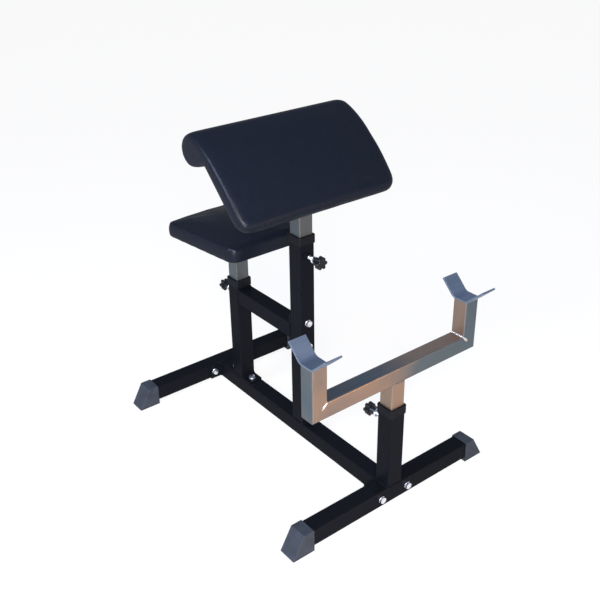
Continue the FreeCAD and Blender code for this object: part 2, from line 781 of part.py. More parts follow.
def wedge_points(front, rear, length, y):
    """Corners of a panel that widens towards the rear."""
    return [(f"-({front}) / 2", f"{y} - ({length}) / 2"), (f"({front}) / 2", f"{y} - ({length}) / 2"),
            (f"({rear}) / 2", f"{y} + ({length}) / 2"), (f"-({rear}) / 2", f"{y} + ({length}) / 2")]


def prism(points, low, high):
    """A straight solid over an outline given as formulas."""
    corners = [FreeCAD.Vector(value(x), value(y), low) for x, y in points]
    return Part.Face(Part.makePolygon(corners + corners[:1])).extrude(FreeCAD.Vector(0, 0, high - low))


def make_seat():
    """The seat's slide tube, steel plate, board, cushion and fixings."""
    slide_tube("seat_slide_tube", "seat_y", "seat_post_top - seat_overlap", "seat_overlap + seat_exposed",
               "rear", stop_row("seat_overlap", 1, 2))
    spots = four("seat_fixing_width", "seat_fixing_length")
    steel = plate("seat_mount_plate", "XY_Plane", "0", "seat_plate_width", "seat_plate_length",
                  "fixing_hole", spots)
    place(steel, y="seat_middle_y", z="seat_plate_bottom")
    inset = "2 * seat_board_inset"
    panel = wedge_points(f"seat_front_width - {inset}", f"seat_rear_width - {inset}",
                         f"seat_length - {inset}", "0")
    place(board("seat_board", "seat_board_thick", panel, spots), y="seat_middle_y", z="seat_bottom")
    middle = [(x, f"seat_middle_y + {y}") for x, y in spots]
    fixings("seat", "seat_plate_bottom", "seat_board_thick", middle)
    cushion = keep(doc.addObject("Part::Feature", "seat_cushion"), "seat_cushion")
    cushion.Shape = seat_form()
    cushion.Placement = FreeCAD.Placement(
        FreeCAD.Vector(0, value("seat_middle_y"), value("seat_bottom")), FreeCAD.Rotation())


def seat_form():
    """Crowned cushion with drawn-in sides: sections across the seat, from front to rear."""
    half = value("seat_length") / 2
    corner, roll = value("seat_corner"), value("seat_edge_roll")
    steps = []
    for share in TURN_SHARES:
        inward = corner * (1 - math.sqrt(1 - share * share))
        steps.append((half - corner * (1 - share), inward, roll * share ** 3))
    steps += [((half - corner) * share, 0, 0) for share in CROWN_SHARES]
    places = [(-y, inward, low) for y, inward, low in steps]
    places += [(y, inward, low) for y, inward, low in reversed(steps)]
    solid = Part.makeLoft([seat_section(*entry) for entry in places], True, True)
    gap = "2 * (seat_board_inset - board_fit)"
    recess = wedge_points(f"seat_front_width - {gap}", f"seat_rear_width - {gap}",
                          f"seat_length - {gap}", "0")
    return solid.cut(prism(recess, -value("overrun"), value("seat_board_thick + board_fit")))


def seat_section(y, inward, lowered):
    """One section across the seat: flat below, tucked in at the sides and arched on top."""
    along = 0.5 + y / value("seat_length")
    width = value("seat_front_width") + along * value("seat_rear_width - seat_front_width")
    half = width / 2 - inward
    tuck, roll = value("seat_tuck"), value("seat_edge_roll")
    edge, crown = value("seat_edge_height") - lowered, value("seat_crown")
    crown_share = 1 - (2 * y / value("seat_length")) ** 2
    arch = edge + crown * (END_ARCH_SHARE + (1 - END_ARCH_SHARE) * crown_share)
    shoulder, below = half - roll / 2, edge - SHOULDER_SHARE * roll
    points = [(-half + tuck, 0), (half - tuck, 0), (half, edge / 2), (shoulder, below),
              (0, arch), (-shoulder, below), (-half, edge / 2)]
    a, b, c, d, e, f, g = [FreeCAD.Vector(x, y, z) for x, z in points]
    return Part.Wire([Part.makeLine(a, b), Part.Arc(b, c, d).toShape(), Part.Arc(d, e, f).toShape(),
                      Part.Arc(f, g, a).toShape()])


def make_pad():
    """The arm pad's slide tube with its slanted top, steel plate, board, cushion and fixings."""
    rise = "slide_size / 2 * tan(pad_angle)"
    tube = slide_tube("pad_slide_tube", "pad_y", "pad_post_top - pad_overlap",
                      f"pad_overlap + pad_exposed + {rise}", "front", stop_row("pad_overlap", 1, 1))
    slant = new_sketch(tube, "YZ_Plane", "slide_size / 2 + overrun")
    middle = "pad_overlap + pad_exposed"
    beyond = "(slide_size / 2 + overrun)"
    draw_outline(slant, [(f"-{beyond}", f"{middle} - {beyond} * tan(pad_angle)"),
                         (beyond, f"{middle} + {beyond} * tan(pad_angle)"),
                         (f"-{beyond}", f"{middle} + {beyond} * tan(pad_angle)")])
    pocket(tube, slant, "slide_size + 2 * overrun")
    spots = four("pad_fixing_width", "pad_fixing_length")
    tilt(plate("pad_mount_plate", "XY_Plane", "0", "pad_plate_width", "pad_plate_length",
               "fixing_hole", spots))
    panel = board("pad_board", "pad_board_thick", pad_board_points("pad_board_inset"), spots)
    tilt(panel)
    panel.setExpression("Placement.Base.y", formula("pad_y - plate_thick * sin(pad_angle)"))
    panel.setExpression("Placement.Base.z", formula("pad_plate_bottom + plate_thick * cos(pad_angle)"))
    for compound in fixings("pad", "0", "pad_board_thick", spots):
        tilt(compound)
    cushion = keep(doc.addObject("Part::Feature", "arm_pad_cushion"), "arm_pad_cushion")
    cushion.Shape = pad_form()
    doc.recompute()
    cushion.Placement = panel.Placement


def pad_board_points(inset):
    """Corners of the arm pad's board, on the slope and about the post's axis."""
    half = f"(pad_width / 2 - ({inset}))"
    low, high = f"-(pad_lower - ({inset}))", f"pad_board_upper + pad_board_inset - ({inset})"
    return [(f"-{half}", low), (half, low), (half, high), (f"-{half}", high)]


def pad_form():
    """Crowned slab that turns over into a roll: sections along the slope, from side to side."""
    half = value("pad_width") / 2
    corner, roll = value("pad_corner"), value("pad_edge_roll")
    steps = []
    for share in TURN_SHARES:
        inward = corner * (1 - math.sqrt(1 - share * share))
        steps.append((half - corner * (1 - share), inward, roll * share ** 3 / 2, 0))
    for share in CROWN_SHARES:
        steps.append(((half - corner) * share, 0, 0, value("pad_crown") * (1 - share ** 2)))
    places = [(-x, *rest) for x, *rest in steps]
    places += [(x, *rest) for x, *rest in reversed(steps)]
    solid = Part.makeLoft([pad_section(*entry) for entry in places], True, True)
    recess = pad_board_points("pad_board_inset - board_fit")
    return solid.cut(prism(recess, -value("overrun"), value("pad_board_thick + board_fit")))


def pad_section(x, inward, thinned, crown):
    """One section down the arm pad, in slope distances: up the slope, then out of it."""
    face, low = value("pad_thick") - thinned + crown, -value("pad_lower") + inward
    radius, centre_up = value("roll_radius") - thinned, value("roll_rise")
    centre_out, bend = -value("roll_drop"), value("pad_bend_start")
    root, tuck, edge = value("roll_root") + thinned, value("pad_tuck") + thinned, value("pad_edge_roll")

    def at(up, out):
        """A point of the section."""
        return FreeCAD.Vector(x, up, out)

    def on_roll(angle):
        """A point on the roll's circle."""
        return at(centre_up + radius * math.cos(angle), centre_out + radius * math.sin(angle))

    across, fall = centre_up - bend, face - centre_out
    bend_radius = (across ** 2 + fall ** 2 - radius ** 2) / (2 * (fall - radius))
    leave = math.atan2(centre_out - face + bend_radius, across)
    away, drop = root - centre_up, -centre_out
    meet = math.atan2(drop, away) + math.acos(radius / math.hypot(away, drop))
    around = leave + 2 * math.pi - meet
    half_turn = (leave + math.pi / 2) / 2
    bend_middle = at(bend + bend_radius * math.cos(half_turn),
                     face - bend_radius * (1 - math.sin(half_turn)))
    start, end = at(low + tuck, 0), at(low + edge, face - SHOULDER_SHARE * edge)
    face_middle = at((low + edge + bend) / 2, face + SWELL_SHARE * edge)
    points = [start, at(root, 0), on_roll(meet), on_roll(meet + around / 4), on_roll(meet + around / 2),
              on_roll(meet + around * 3 / 4), on_roll(leave), bend_middle, at(bend, face), face_middle, end,
              at(low, face / 2)]
    s, r, m, q, h, t, v, b, f, k, e, n = points
    return Part.Wire([Part.makeLine(s, r), Part.makeLine(r, m), Part.Arc(m, q, h).toShape(),
                      Part.Arc(h, t, v).toShape(), Part.Arc(v, b, f).toShape(), Part.Arc(f, k, e).toShape(),
                      Part.Arc(e, n, s).toShape()])


# The whole bench

def check():
    """See that every object built and that every piece has a valid shape."""
    doc.recompute()
    bad = [item.Label for item in doc.Objects if {"Invalid", "Error"} & set(item.State)]
    bad += [node.Label for node in nodes if node.Shape.isNull() or not node.Shape.isValid()]
    bad += [node.Label for node in nodes if not node.Shape.Solids]
    if bad:
        raise RuntimeError("not built: " + ", ".join(bad))


def main():
    """Build the bench and write each piece to its own file."""
    fill_sheet()
    make_feet()
    make_caps()
    make_beam()
    make_posts()
    make_brace()
    make_frame_fasteners()
    make_clamps()
    make_rack()
    make_seat()
    make_pad()
    check()
    os.makedirs("parts", exist_ok=True)
    for node in nodes:
        node.Shape.exportStep(f"parts/{node.Label}.step")
    print(len(nodes), "pieces written")


main()
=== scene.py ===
"""Preacher curl bench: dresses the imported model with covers, welds, fasteners and finishes."""
import math
import random

import bmesh
import bpy
from mathutils import Matrix, Quaternion, Vector


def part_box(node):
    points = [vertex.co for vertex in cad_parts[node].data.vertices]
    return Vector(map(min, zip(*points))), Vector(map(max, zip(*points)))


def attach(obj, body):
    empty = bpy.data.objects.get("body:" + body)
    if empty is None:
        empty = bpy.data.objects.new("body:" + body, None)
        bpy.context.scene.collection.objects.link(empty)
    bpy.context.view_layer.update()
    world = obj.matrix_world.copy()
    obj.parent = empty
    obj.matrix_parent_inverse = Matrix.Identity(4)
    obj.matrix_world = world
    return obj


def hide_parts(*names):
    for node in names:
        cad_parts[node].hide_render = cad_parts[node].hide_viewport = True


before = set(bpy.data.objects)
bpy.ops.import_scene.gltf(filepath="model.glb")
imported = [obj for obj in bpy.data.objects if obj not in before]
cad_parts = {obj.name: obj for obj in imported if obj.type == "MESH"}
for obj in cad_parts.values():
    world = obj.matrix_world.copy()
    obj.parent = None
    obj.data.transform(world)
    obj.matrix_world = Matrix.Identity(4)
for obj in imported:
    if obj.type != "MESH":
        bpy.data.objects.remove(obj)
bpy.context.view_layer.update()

bl_info = {
    "name": "Preacher curl bench",
    "version": (1, 0, 0),
    "blender": (4, 5, 0),
    "location": "View3D > Sidebar > Bench",
    "description": "Dresses the packed bench with covers, welds, fasteners and finishes",
    "category": "Object",
}

MM = 0.001
UP = Vector((0, 0, 1))
ACROSS = Vector((1, 0, 0))
REARWARD = Vector((0, 1, 0))
POSTS = ("front_post", "pad_post", "seat_post")
# The side of its post that each clamp's knob stands on: 1 at the rear, -1 at the front
CLAMP_SIDES = {"rack": 1, "pad": -1, "seat": 1}


# Sizes and colours that a user would change

def linear(code):
    """An sRGB hex value as a linear colour with full alpha."""
    def channel(number):
        share = number / 255
        return share / 12.92 if share <= 0.04045 else ((share + 0.055) / 1.055) ** 2.4
    return tuple(channel(int(code[at:at + 2], 16)) for at in (1, 3, 5)) + (1.0,)


def colour(name, description, code):
    """A colour property with its default written as sRGB hex."""
    return bpy.props.FloatVectorProperty(name=name, description=description, subtype="COLOR",
                                         size=4, min=0.0, max=1.0, default=linear(code))


def length(name, description, millimetres):
    """A length property with its default written in millimetres."""
    return bpy.props.FloatProperty(name=name, description=description, subtype="DISTANCE",
                                   unit="LENGTH", precision=5, min=0.0, default=millimetres * MM)


def turn(name, description, degrees):
    """An angle property with its default written in degrees."""
    return bpy.props.FloatProperty(name=name, description=description, subtype="ANGLE",
                                   unit="ROTATION", default=math.radians(degrees))


class BenchColours(bpy.types.PropertyGroup):
    """Colours of the bench's finishes and of its stage."""
    vinyl: colour("Vinyl", "Cover of both cushions", "#11141c")
    paint: colour("Powder paint", "Black powder paint of the frame", "#0d0e12")
    worn_paint: colour("Rubbed paint", "Powder paint where edges are rubbed", "#2a2a2e")
    # Painted reflection: the straw of the plated steel and the blue of the cool plated steel stand
    # in for warm and shaded surroundings seen in the metal
    steel: colour("Plated steel", "Rack and its slide tube, straw tint", "#937f71")
    cool_steel: colour("Cool plated steel", "Rack and slide tubes, blue tint", "#5c6870")
    # Painted shade: a darker copy of the plated steel for the slide tubes under the cushions
    handled_steel: colour("Steel with painted shade", "Slide tubes of the seat and the arm pad", "#676361")
    strip: colour("Plated strip", "Bent strips of the cradles", "#7a8697")
    weld: colour("Weld", "Bare weld beads on the rack", "#e6e4e1")
    zinc: colour("Zinc", "Bolts, nuts, washers and screws", "#eaedf2")
    rubber: colour("Rubber", "Foot caps", "#26292f")
    dusty_rubber: colour("Dusty rubber", "Scuffs on the foot caps", "#2e333b")
    nylon: colour("Nylon", "Collars and knobs", "#111215")
    insert: colour("Nut insert", "Nylon rings of the lock nuts", "#3d66a6")
    plywood: colour("Plywood", "Boards under the cushions", "#c19a6b")
    plywood_dark: colour("Plywood grain", "Grain and glue lines of the boards", "#8a6238")
    floor: colour("Floor", "Studio floor", "#f5f1ec")
    backdrop: colour("Backdrop", "White that the floor shows to the camera and in metal", "#ffffff")
    sky: colour("Studio light from above", "World colour overhead", "#97a5c0")
    horizon: colour("Studio light from the sides", "World colour at the horizon", "#f8f8f8")


class BenchSizes(bpy.types.PropertyGroup):
    """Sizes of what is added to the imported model, and the camera's place."""
    voxel: length("Remesh", "Voxel of the cushions' remesh", 5.0)
    seat_cap: length("Seat swell", "Most that a point of the seat's cover may move", 6.0)
    pad_cap: length("Pad swell", "Most that a point of the arm pad's cover may move", 5.0)
    fullness: length("Fullness", "How far smoothed covers are let out again", 0.9)
    draw_in: length("Draw in", "How much smaller a cushion starts before it is blown up", 3.0)
    pin_height: length("Pinned height", "Height above the board's underside that is held fast", 4.0)
    unevenness: length("Foam unevenness", "Slow rise and fall of the foam under the cover", 0.6)
    board_fit: length("Board fit", "Gap between a board and its cover", 0.3)
    hem_width: length("Hem", "Width of the cover's hem under a board", 24.0)
    hem_thick: length("Hem thickness", "Thickness of the cover's hem", 0.9)
    staple_spacing: length("Staple spacing", "Distance between staples in the hems", 26.0)
    staple_crown: length("Staple crown", "Length of a staple's crown", 11.0)
    staple_wire: length("Staple wire", "Thickness of a staple's wire", 1.1)
    bead: length("Weld bead", "Radius of the frame's weld beads", 2.6)
    mitre_bead: length("Mitre weld", "Radius of the rack's ground-down mitre welds", 4.5)
    ripple: length("Weld ripple", "Distance between a weld bead's ripples", 3.2)
    tube_round: length("Tube corner", "Outer corner radius of the square tubes", 4.0)
    pitch: length("Thread pitch", "Pitch of the screw threads", 1.5)
    thread_depth: length("Thread depth", "Depth of the screw threads", 0.75)
    pad_slope: turn("Arm pad slope", "Slope of the arm pad", 45.0)
    lens: bpy.props.FloatProperty(name="Lens", description="Focal length on a 36 mm sensor",
                                  default=50.62)
    camera_turn: turn("Camera azimuth", "Camera's turn about the bench", -37.65)
    camera_rise: turn("Camera elevation", "Camera's height angle", 28.07)
    camera_roll: turn("Camera roll", "Camera's roll", -0.94)
    camera_place: bpy.props.FloatVectorProperty(
        name="Camera place", description="Camera's position", subtype="XYZ", unit="LENGTH",
        default=(-1.2743, -1.6672, 1.5718))
    floor_size: length("Floor size", "Side of the studio floor", 40000.0)


def colours():
    """The scene's bench colours."""
    return bpy.context.scene.bench_colours


def sizes():
    """The scene's bench sizes."""
    return bpy.context.scene.bench_sizes


# Materials

# A noise seldom leaves the middle of its range, so most patterns are read from that part
MIDDLE = {"From Min": 0.3, "From Max": 0.7}
# Numbers of a Mix node's sockets: its factor, two plain values and two colours
FACTOR, LEFT, RIGHT, FIRST, SECOND = 0, 2, 3, 6, 7
BLEND = {"data_type": "RGBA"}
MULTIPLY = {"data_type": "RGBA", "blend_type": "MULTIPLY"}
# Where along X the painted reflection on the plated rack starts and stops to change from straw to
# blue
PAINTED_REFLECTION_START, PAINTED_REFLECTION_STOP = -40 * MM, 100 * MM


def fill(tree, node, inputs):
    """Fill a node's inputs with plain values, sockets, or other nodes' first outputs in use."""
    for key, given in inputs.items():
        if isinstance(given, bpy.types.Node):
            given = next(socket for socket in given.outputs if socket.enabled)
        if isinstance(given, bpy.types.NodeSocket):
            tree.links.new(given, node.inputs[key])
        else:
            node.inputs[key].default_value = given


def add(tree, kind, inputs=None, **settings):
    """Add a node with its settings, and fill its inputs."""
    node = tree.nodes.new(kind)
    for name, setting in settings.items():
        setattr(node, name, setting)
    fill(tree, node, inputs or {})
    return node


def start_material(name, sockets):
    """A new node material with its shader's plain sockets set, and real-size coordinates."""
    material = bpy.data.materials.new(name)
    material.use_nodes = True
    tree = material.node_tree
    shader = tree.nodes["Principled BSDF"]
    fill(tree, shader, sockets)
    place = add(tree, "ShaderNodeTexCoord").outputs["Object"]
    return material, tree, shader, place


def vinyl(name):
    """Embossed PVC upholstery cloth under a thin clear skin: black with soft, cool highlights."""
    material, tree, shader, place = start_material(
        name, {"Specular IOR Level": 0.0, "Coat Weight": 0.24})
    # Real grain is about 1 mm; it is drawn at 2.6 mm so that it shows
    warp = add(tree, "ShaderNodeTexNoise", {"Vector": place, "Scale": 1 / (6 * MM), "Detail": 2.0})
    bent = add(tree, "ShaderNodeVectorMath", {0: warp.outputs["Color"], 1: (1.2 * MM,) * 3},
               operation="MULTIPLY")
    moved = add(tree, "ShaderNodeVectorMath", {0: place, 1: bent}, operation="ADD")
    grain = add(tree, "ShaderNodeTexVoronoi", {"Vector": moved, "Scale": 1 / (2.6 * MM)},
                feature="DISTANCE_TO_EDGE")
    pebble = add(tree, "ShaderNodeMapRange", {"Value": grain, "From Max": 0.22},
                 interpolation_type="SMOOTHSTEP")
    slow = add(tree, "ShaderNodeTexNoise", {"Vector": place, "Scale": 1 / (45 * MM), "Detail": 4.0})
    gloss = add(tree, "ShaderNodeMapRange",
                {"Value": slow, **MIDDLE, "To Min": 0.25, "To Max": 0.33})
    shade = add(tree, "ShaderNodeMapRange", {"Value": pebble, "To Min": 0.75, "To Max": 1.05})
    tint = add(tree, "ShaderNodeMix", {FACTOR: 1.0, FIRST: colours().vinyl, SECOND: shade},
               **MULTIPLY)
    relief = add(tree, "ShaderNodeBump",
                 {"Height": pebble, "Strength": 0.25, "Distance": 0.2 * MM})
    fill(tree, shader, {"Base Color": tint, "Roughness": gloss, "Coat Roughness": gloss,
                        "Normal": relief, "Coat Normal": relief})
    return material


def powder_paint(name):
    """Polyester powder baked on steel: semi-gloss black, orange peel, rubbed along its edges."""
    material, tree, shader, place = start_material(
        name, {"Specular IOR Level": 0.0, "Coat Weight": 0.1})
    # Orange peel of about 1.5 mm, drawn at 3 mm so that it shows
    peel = add(tree, "ShaderNodeTexNoise", {"Vector": place, "Scale": 1 / (3 * MM), "Detail": 1.0})
    slow = add(tree, "ShaderNodeTexNoise", {"Vector": place, "Scale": 1 / (60 * MM), "Detail": 5.0})
    gloss = add(tree, "ShaderNodeMapRange",
                {"Value": slow, **MIDDLE, "To Min": 0.26, "To Max": 0.4})
    # Where the rounded normal leaves the flat one, there is an edge
    edge = add(tree, "ShaderNodeBevel", {"Radius": 1.2 * MM}, samples=4)
    flat = add(tree, "ShaderNodeNewGeometry")
    turned = add(tree, "ShaderNodeVectorMath", {0: edge, 1: flat.outputs["Normal"]},
                 operation="DOT_PRODUCT")
    rub = add(tree, "ShaderNodeMapRange", {"Value": turned, "From Min": 0.985, "From Max": 0.9})
    patchy = add(tree, "ShaderNodeMath", {0: rub, 1: slow}, operation="MULTIPLY")
    tint = add(tree, "ShaderNodeMix",
               {FACTOR: patchy, FIRST: colours().paint, SECOND: colours().worn_paint}, **BLEND)
    relief = add(tree, "ShaderNodeBump", {"Height": peel, "Strength": 0.12,
                                          "Distance": 0.15 * MM, "Normal": edge})
    fill(tree, shader, {"Base Color": tint, "Roughness": gloss, "Coat Roughness": gloss,
                        "Normal": relief, "Coat Normal": relief})
    return material


def plated_steel(name, along, warm, cool):
    """Nickel-plated steel, polished lengthwise: satin streaks, and a painted reflection from straw
    to blue on its faces.
    """
    material, tree, shader, place = start_material(name, {"Metallic": 1.0})
    # Polishing lines of about 0.3 mm, drawn at 0.8 mm so that they show
    scale = [1 / (0.8 * MM)] * 3
    scale["XYZ".index(along)] = 1 / (90 * MM)
    stretched = add(tree, "ShaderNodeMapping", {"Vector": place, "Scale": scale})
    lines = add(tree, "ShaderNodeTexNoise", {"Vector": stretched, "Scale": 1.0, "Detail": 3.0})
    cloud = add(tree, "ShaderNodeTexNoise",
                {"Vector": place, "Scale": 1 / (90 * MM), "Detail": 2.0})
    axes = add(tree, "ShaderNodeSeparateXYZ", {0: place})
    # Painted reflection: the colour drifts from straw to blue along X, plus a random cloud
    painted_reflection_drift = add(tree, "ShaderNodeMapRange",
                {"Value": axes.outputs["X"], "From Min": PAINTED_REFLECTION_START, "From Max": PAINTED_REFLECTION_STOP,
                 "To Min": -0.35, "To Max": 0.75})
    patchy = add(tree, "ShaderNodeMath", {0: painted_reflection_drift, 1: cloud}, use_clamp=True)
    # Painted reflection: front and back faces go from straw to blue along the rack, the others from
    # blue to straw
    way = add(tree, "ShaderNodeTexCoord")
    facing = add(tree, "ShaderNodeSeparateXYZ", {0: way.outputs["Normal"]})
    front = add(tree, "ShaderNodeMath", {0: facing.outputs["Y"]}, operation="ABSOLUTE")
    other = add(tree, "ShaderNodeMath", {0: 1.0, 1: patchy}, operation="SUBTRACT")
    share = add(tree, "ShaderNodeMix", {FACTOR: front, LEFT: other, RIGHT: patchy})
    tint = add(tree, "ShaderNodeMix", {FACTOR: share, FIRST: getattr(colours(), warm),
                                       SECOND: getattr(colours(), cool)}, **BLEND)
    shade = add(tree, "ShaderNodeMapRange",
                {"Value": lines, **MIDDLE, "To Min": 0.86, "To Max": 1.08})
    streaked = add(tree, "ShaderNodeMix", {FACTOR: 1.0, FIRST: tint, SECOND: shade}, **MULTIPLY)
    rough = add(tree, "ShaderNodeMapRange",
                {"Value": lines, **MIDDLE, "To Min": 0.44, "To Max": 0.56})
    edge = add(tree, "ShaderNodeBevel", {"Radius": 0.8 * MM}, samples=4)
    relief = add(tree, "ShaderNodeBump", {"Height": lines, "Strength": 0.12,
                                          "Distance": 0.08 * MM, "Normal": edge})
    fill(tree, shader, {"Base Color": streaked, "Roughness": rough, "Normal": relief})
    return material


def zinc(name):
    """Bright zinc plating on turned and pressed steel: silvery, with faint cloudy spots."""
    material, tree, shader, place = start_material(name, {"Metallic": 1.0})
    cloud = add(tree, "ShaderNodeTexNoise", {"Vector": place, "Scale": 1 / (4 * MM), "Detail": 4.0})
    rough = add(tree, "ShaderNodeMapRange",
                {"Value": cloud, **MIDDLE, "To Min": 0.24, "To Max": 0.4})
    shade = add(tree, "ShaderNodeMapRange",
                {"Value": cloud, **MIDDLE, "To Min": 0.9, "To Max": 1.0})
    tint = add(tree, "ShaderNodeMix", {FACTOR: 1.0, FIRST: colours().zinc, SECOND: shade},
               **MULTIPLY)
    fill(tree, shader, {"Base Color": tint, "Roughness": rough})
    return material


def weld_steel(name):
    """Bare weld metal, wire-brushed: rippled, brighter than the tube and a little straw-tinted."""
    material, tree, shader, place = start_material(name, {"Metallic": 1.0})
    cloud = add(tree, "ShaderNodeTexNoise", {"Vector": place, "Scale": 1 / (3 * MM), "Detail": 4.0})
    rough = add(tree, "ShaderNodeMapRange",
                {"Value": cloud, **MIDDLE, "To Min": 0.25, "To Max": 0.42})
    shade = add(tree, "ShaderNodeMapRange", {"Value": cloud, **MIDDLE, "To Max": 0.5})
    tint = add(tree, "ShaderNodeMix",
               {FACTOR: shade, FIRST: colours().weld, SECOND: colours().steel}, **BLEND)
    fill(tree, shader, {"Base Color": tint, "Roughness": rough})
    return material


def rubber(name):
    """Moulded rubber with a sanded mould finish: dull bluish black, scuffed grey in patches."""
    material, tree, shader, place = start_material(name, {"IOR": 1.5, "Specular IOR Level": 0.2})
    # The mould's grit of about 0.5 mm, drawn at 2.5 mm so that it shows
    grit = add(tree, "ShaderNodeTexNoise",
               {"Vector": place, "Scale": 1 / (2.5 * MM), "Detail": 2.0})
    scuff = add(tree, "ShaderNodeTexNoise",
                {"Vector": place, "Scale": 1 / (30 * MM), "Detail": 3.0})
    patch = add(tree, "ShaderNodeMapRange", {"Value": scuff, "From Min": 0.35, "From Max": 0.7})
    tint = add(tree, "ShaderNodeMix",
               {FACTOR: patch, FIRST: colours().rubber, SECOND: colours().dusty_rubber}, **BLEND)
    rough = add(tree, "ShaderNodeMapRange", {"Value": scuff, "To Min": 0.5, "To Max": 0.75})
    edge = add(tree, "ShaderNodeBevel", {"Radius": 1.5 * MM}, samples=4)
    relief = add(tree, "ShaderNodeBump", {"Height": grit, "Strength": 0.12,
                                          "Distance": 0.15 * MM, "Normal": edge})
    fill(tree, shader, {"Base Color": tint, "Roughness": rough, "Normal": relief})
    return material


def moulded(name, shade, roughness, skin):
    """Injection-moulded nylon with a fine spark-eroded texture: even, satin and slightly waxy."""
    material, tree, shader, place = start_material(
        name, {"Specular IOR Level": 0.0, "Coat Weight": skin})
    # Spark texture of about 0.1 mm, drawn at 1.2 mm so that it shows
    spark = add(tree, "ShaderNodeTexNoise",
                {"Vector": place, "Scale": 1 / (1.2 * MM), "Detail": 2.0})
    tone = add(tree, "ShaderNodeMapRange", {"Value": spark, "To Min": 0.8, "To Max": 1.2})
    tint = add(tree, "ShaderNodeMix",
               {FACTOR: 1.0, FIRST: getattr(colours(), shade), SECOND: tone}, **MULTIPLY)
    rough = add(tree, "ShaderNodeMapRange", {"Value": spark, "To Min": roughness - 0.06,
                                             "To Max": roughness + 0.06})
    edge = add(tree, "ShaderNodeBevel", {"Radius": 0.8 * MM}, samples=4)
    relief = add(tree, "ShaderNodeBump", {"Height": spark, "Strength": 0.15,
                                          "Distance": 0.1 * MM, "Normal": edge})
    fill(tree, shader, {"Base Color": tint, "Roughness": rough, "Coat Roughness": rough,
                        "Normal": relief, "Coat Normal": relief})
    return material


def plywood(name, sloping):
    """Poplar plywood: pale veneer with streaky grain, and glue lines that show on its edges."""
    material, tree, shader, place = start_material(name, {"IOR": 1.5, "Specular IOR Level": 0.25})
    slope = sizes().pad_slope if sloping else 0.0
    level = add(tree, "ShaderNodeVectorRotate", {"Vector": place, "Angle": -slope},
                rotation_type="X_AXIS")
    streak = add(tree, "ShaderNodeMapping",
                 {"Vector": level, "Scale": (1 / (70 * MM), 1 / (3 * MM), 1 / (3 * MM))})
    grain = add(tree, "ShaderNodeTexNoise",
                {"Vector": streak, "Scale": 1.0, "Detail": 5.0, "Distortion": 0.6})
    axes = add(tree, "ShaderNodeSeparateXYZ", {0: level})
    plies = add(tree, "ShaderNodeMath", {0: axes.outputs["Z"], 1: 2.4 * MM}, operation="PINGPONG")
    glue = add(tree, "ShaderNodeMapRange",
               {"Value": plies, "From Max": 0.5 * MM, "To Min": 0.55, "To Max": 0.0})
    dark = add(tree, "ShaderNodeMapRange",
               {"Value": grain, "From Min": 0.42, "From Max": 0.72, "To Max": 0.7})
    share = add(tree, "ShaderNodeMath", {0: glue, 1: dark}, operation="MAXIMUM")
    tint = add(tree, "ShaderNodeMix",
               {FACTOR: share, FIRST: colours().plywood, SECOND: colours().plywood_dark}, **BLEND)
    relief = add(tree, "ShaderNodeBump",
                 {"Height": grain, "Strength": 0.2, "Distance": 0.2 * MM})
    rough = add(tree, "ShaderNodeMapRange", {"Value": grain, "To Min": 0.5, "To Max": 0.75})
    fill(tree, shader, {"Base Color": tint, "Roughness": rough, "Normal": relief})
    return material


# Each finish: what makes it, its material's name, and what else its maker needs
FINISHES = {
    "vinyl": (vinyl, "Embossed black vinyl"),
    "paint": (powder_paint, "Black powder paint"),
    # For the plated steels the two colours are the straw and blue ends of a painted reflection
    "stem steel": (plated_steel, "Plated steel, stem", "Z", "steel", "steel"),
    "upright steel": (plated_steel, "Plated steel, upright", "Z", "steel", "cool_steel"),
    "cross steel": (plated_steel, "Plated steel, crosswise", "X", "steel", "cool_steel"),
    # The slide tubes under the cushions take the steel darkened as painted shade
    "shaded steel": (plated_steel, "Plated steel, handled", "Z", "handled_steel", "cool_steel"),
    "strip steel": (plated_steel, "Plated steel, strip", "X", "strip", "strip"),
    "weld": (weld_steel, "Brushed weld metal"),
    "zinc": (zinc, "Bright zinc plating"),
    "rubber": (rubber, "Moulded black rubber"),
    "nylon": (moulded, "Moulded black nylon", "nylon", 0.42, 0.15),
    "glossy nylon": (moulded, "Glossy black nylon", "nylon", 0.28, 0.6),
    "insert": (moulded, "Blue nylon insert", "insert", 0.4, 0.15),
    "seat plywood": (plywood, "Plywood, level", False),
    "pad plywood": (plywood, "Plywood, sloping", True),
}


def finish(name):
    """A finish by name, made once."""
    maker, label, *needs = FINISHES[name]
    return bpy.data.materials.get(label) or maker(label, *needs)


# Meshes and pieces

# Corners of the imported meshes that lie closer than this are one
SAME_CORNER = 0.002 * MM


def new_object(name, data):
    """A new object in the scene."""
    made = bpy.data.objects.new(name, data)
    bpy.context.scene.collection.objects.link(made)
    return made


def new_piece(name, mesh, body, slot, *finishes):
    """A piece of the scene that rides on a body and takes the given finishes; its slot is not used.
    """
    mesh.name = name
    piece = new_object(name, mesh)
    for each in finishes:
        mesh.materials.append(finish(each))
    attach(piece, body)
    return piece


def plain_mesh(shape):
    """A mesh from a bmesh, which is freed."""
    mesh = bpy.data.meshes.new("shape")
    shape.to_mesh(mesh)
    shape.free()
    return mesh


def shaded(mesh, crease):
    """A mesh shaded smooth up to an angle, or all over."""
    mesh.shade_smooth()
    if crease is not None:
        mesh.set_sharp_from_angle(angle=crease)
    return mesh


def mesh_of(shape, crease=None):
    """A shaded mesh from a bmesh, with its faces turned outwards."""
    bmesh.ops.recalc_face_normals(shape, faces=shape.faces)
    return shaded(plain_mesh(shape), crease)


def settled(piece):
    """The mesh of a piece with its modifiers applied."""
    graph = bpy.context.evaluated_depsgraph_get()
    return bpy.data.meshes.new_from_object(piece.evaluated_get(graph), depsgraph=graph)


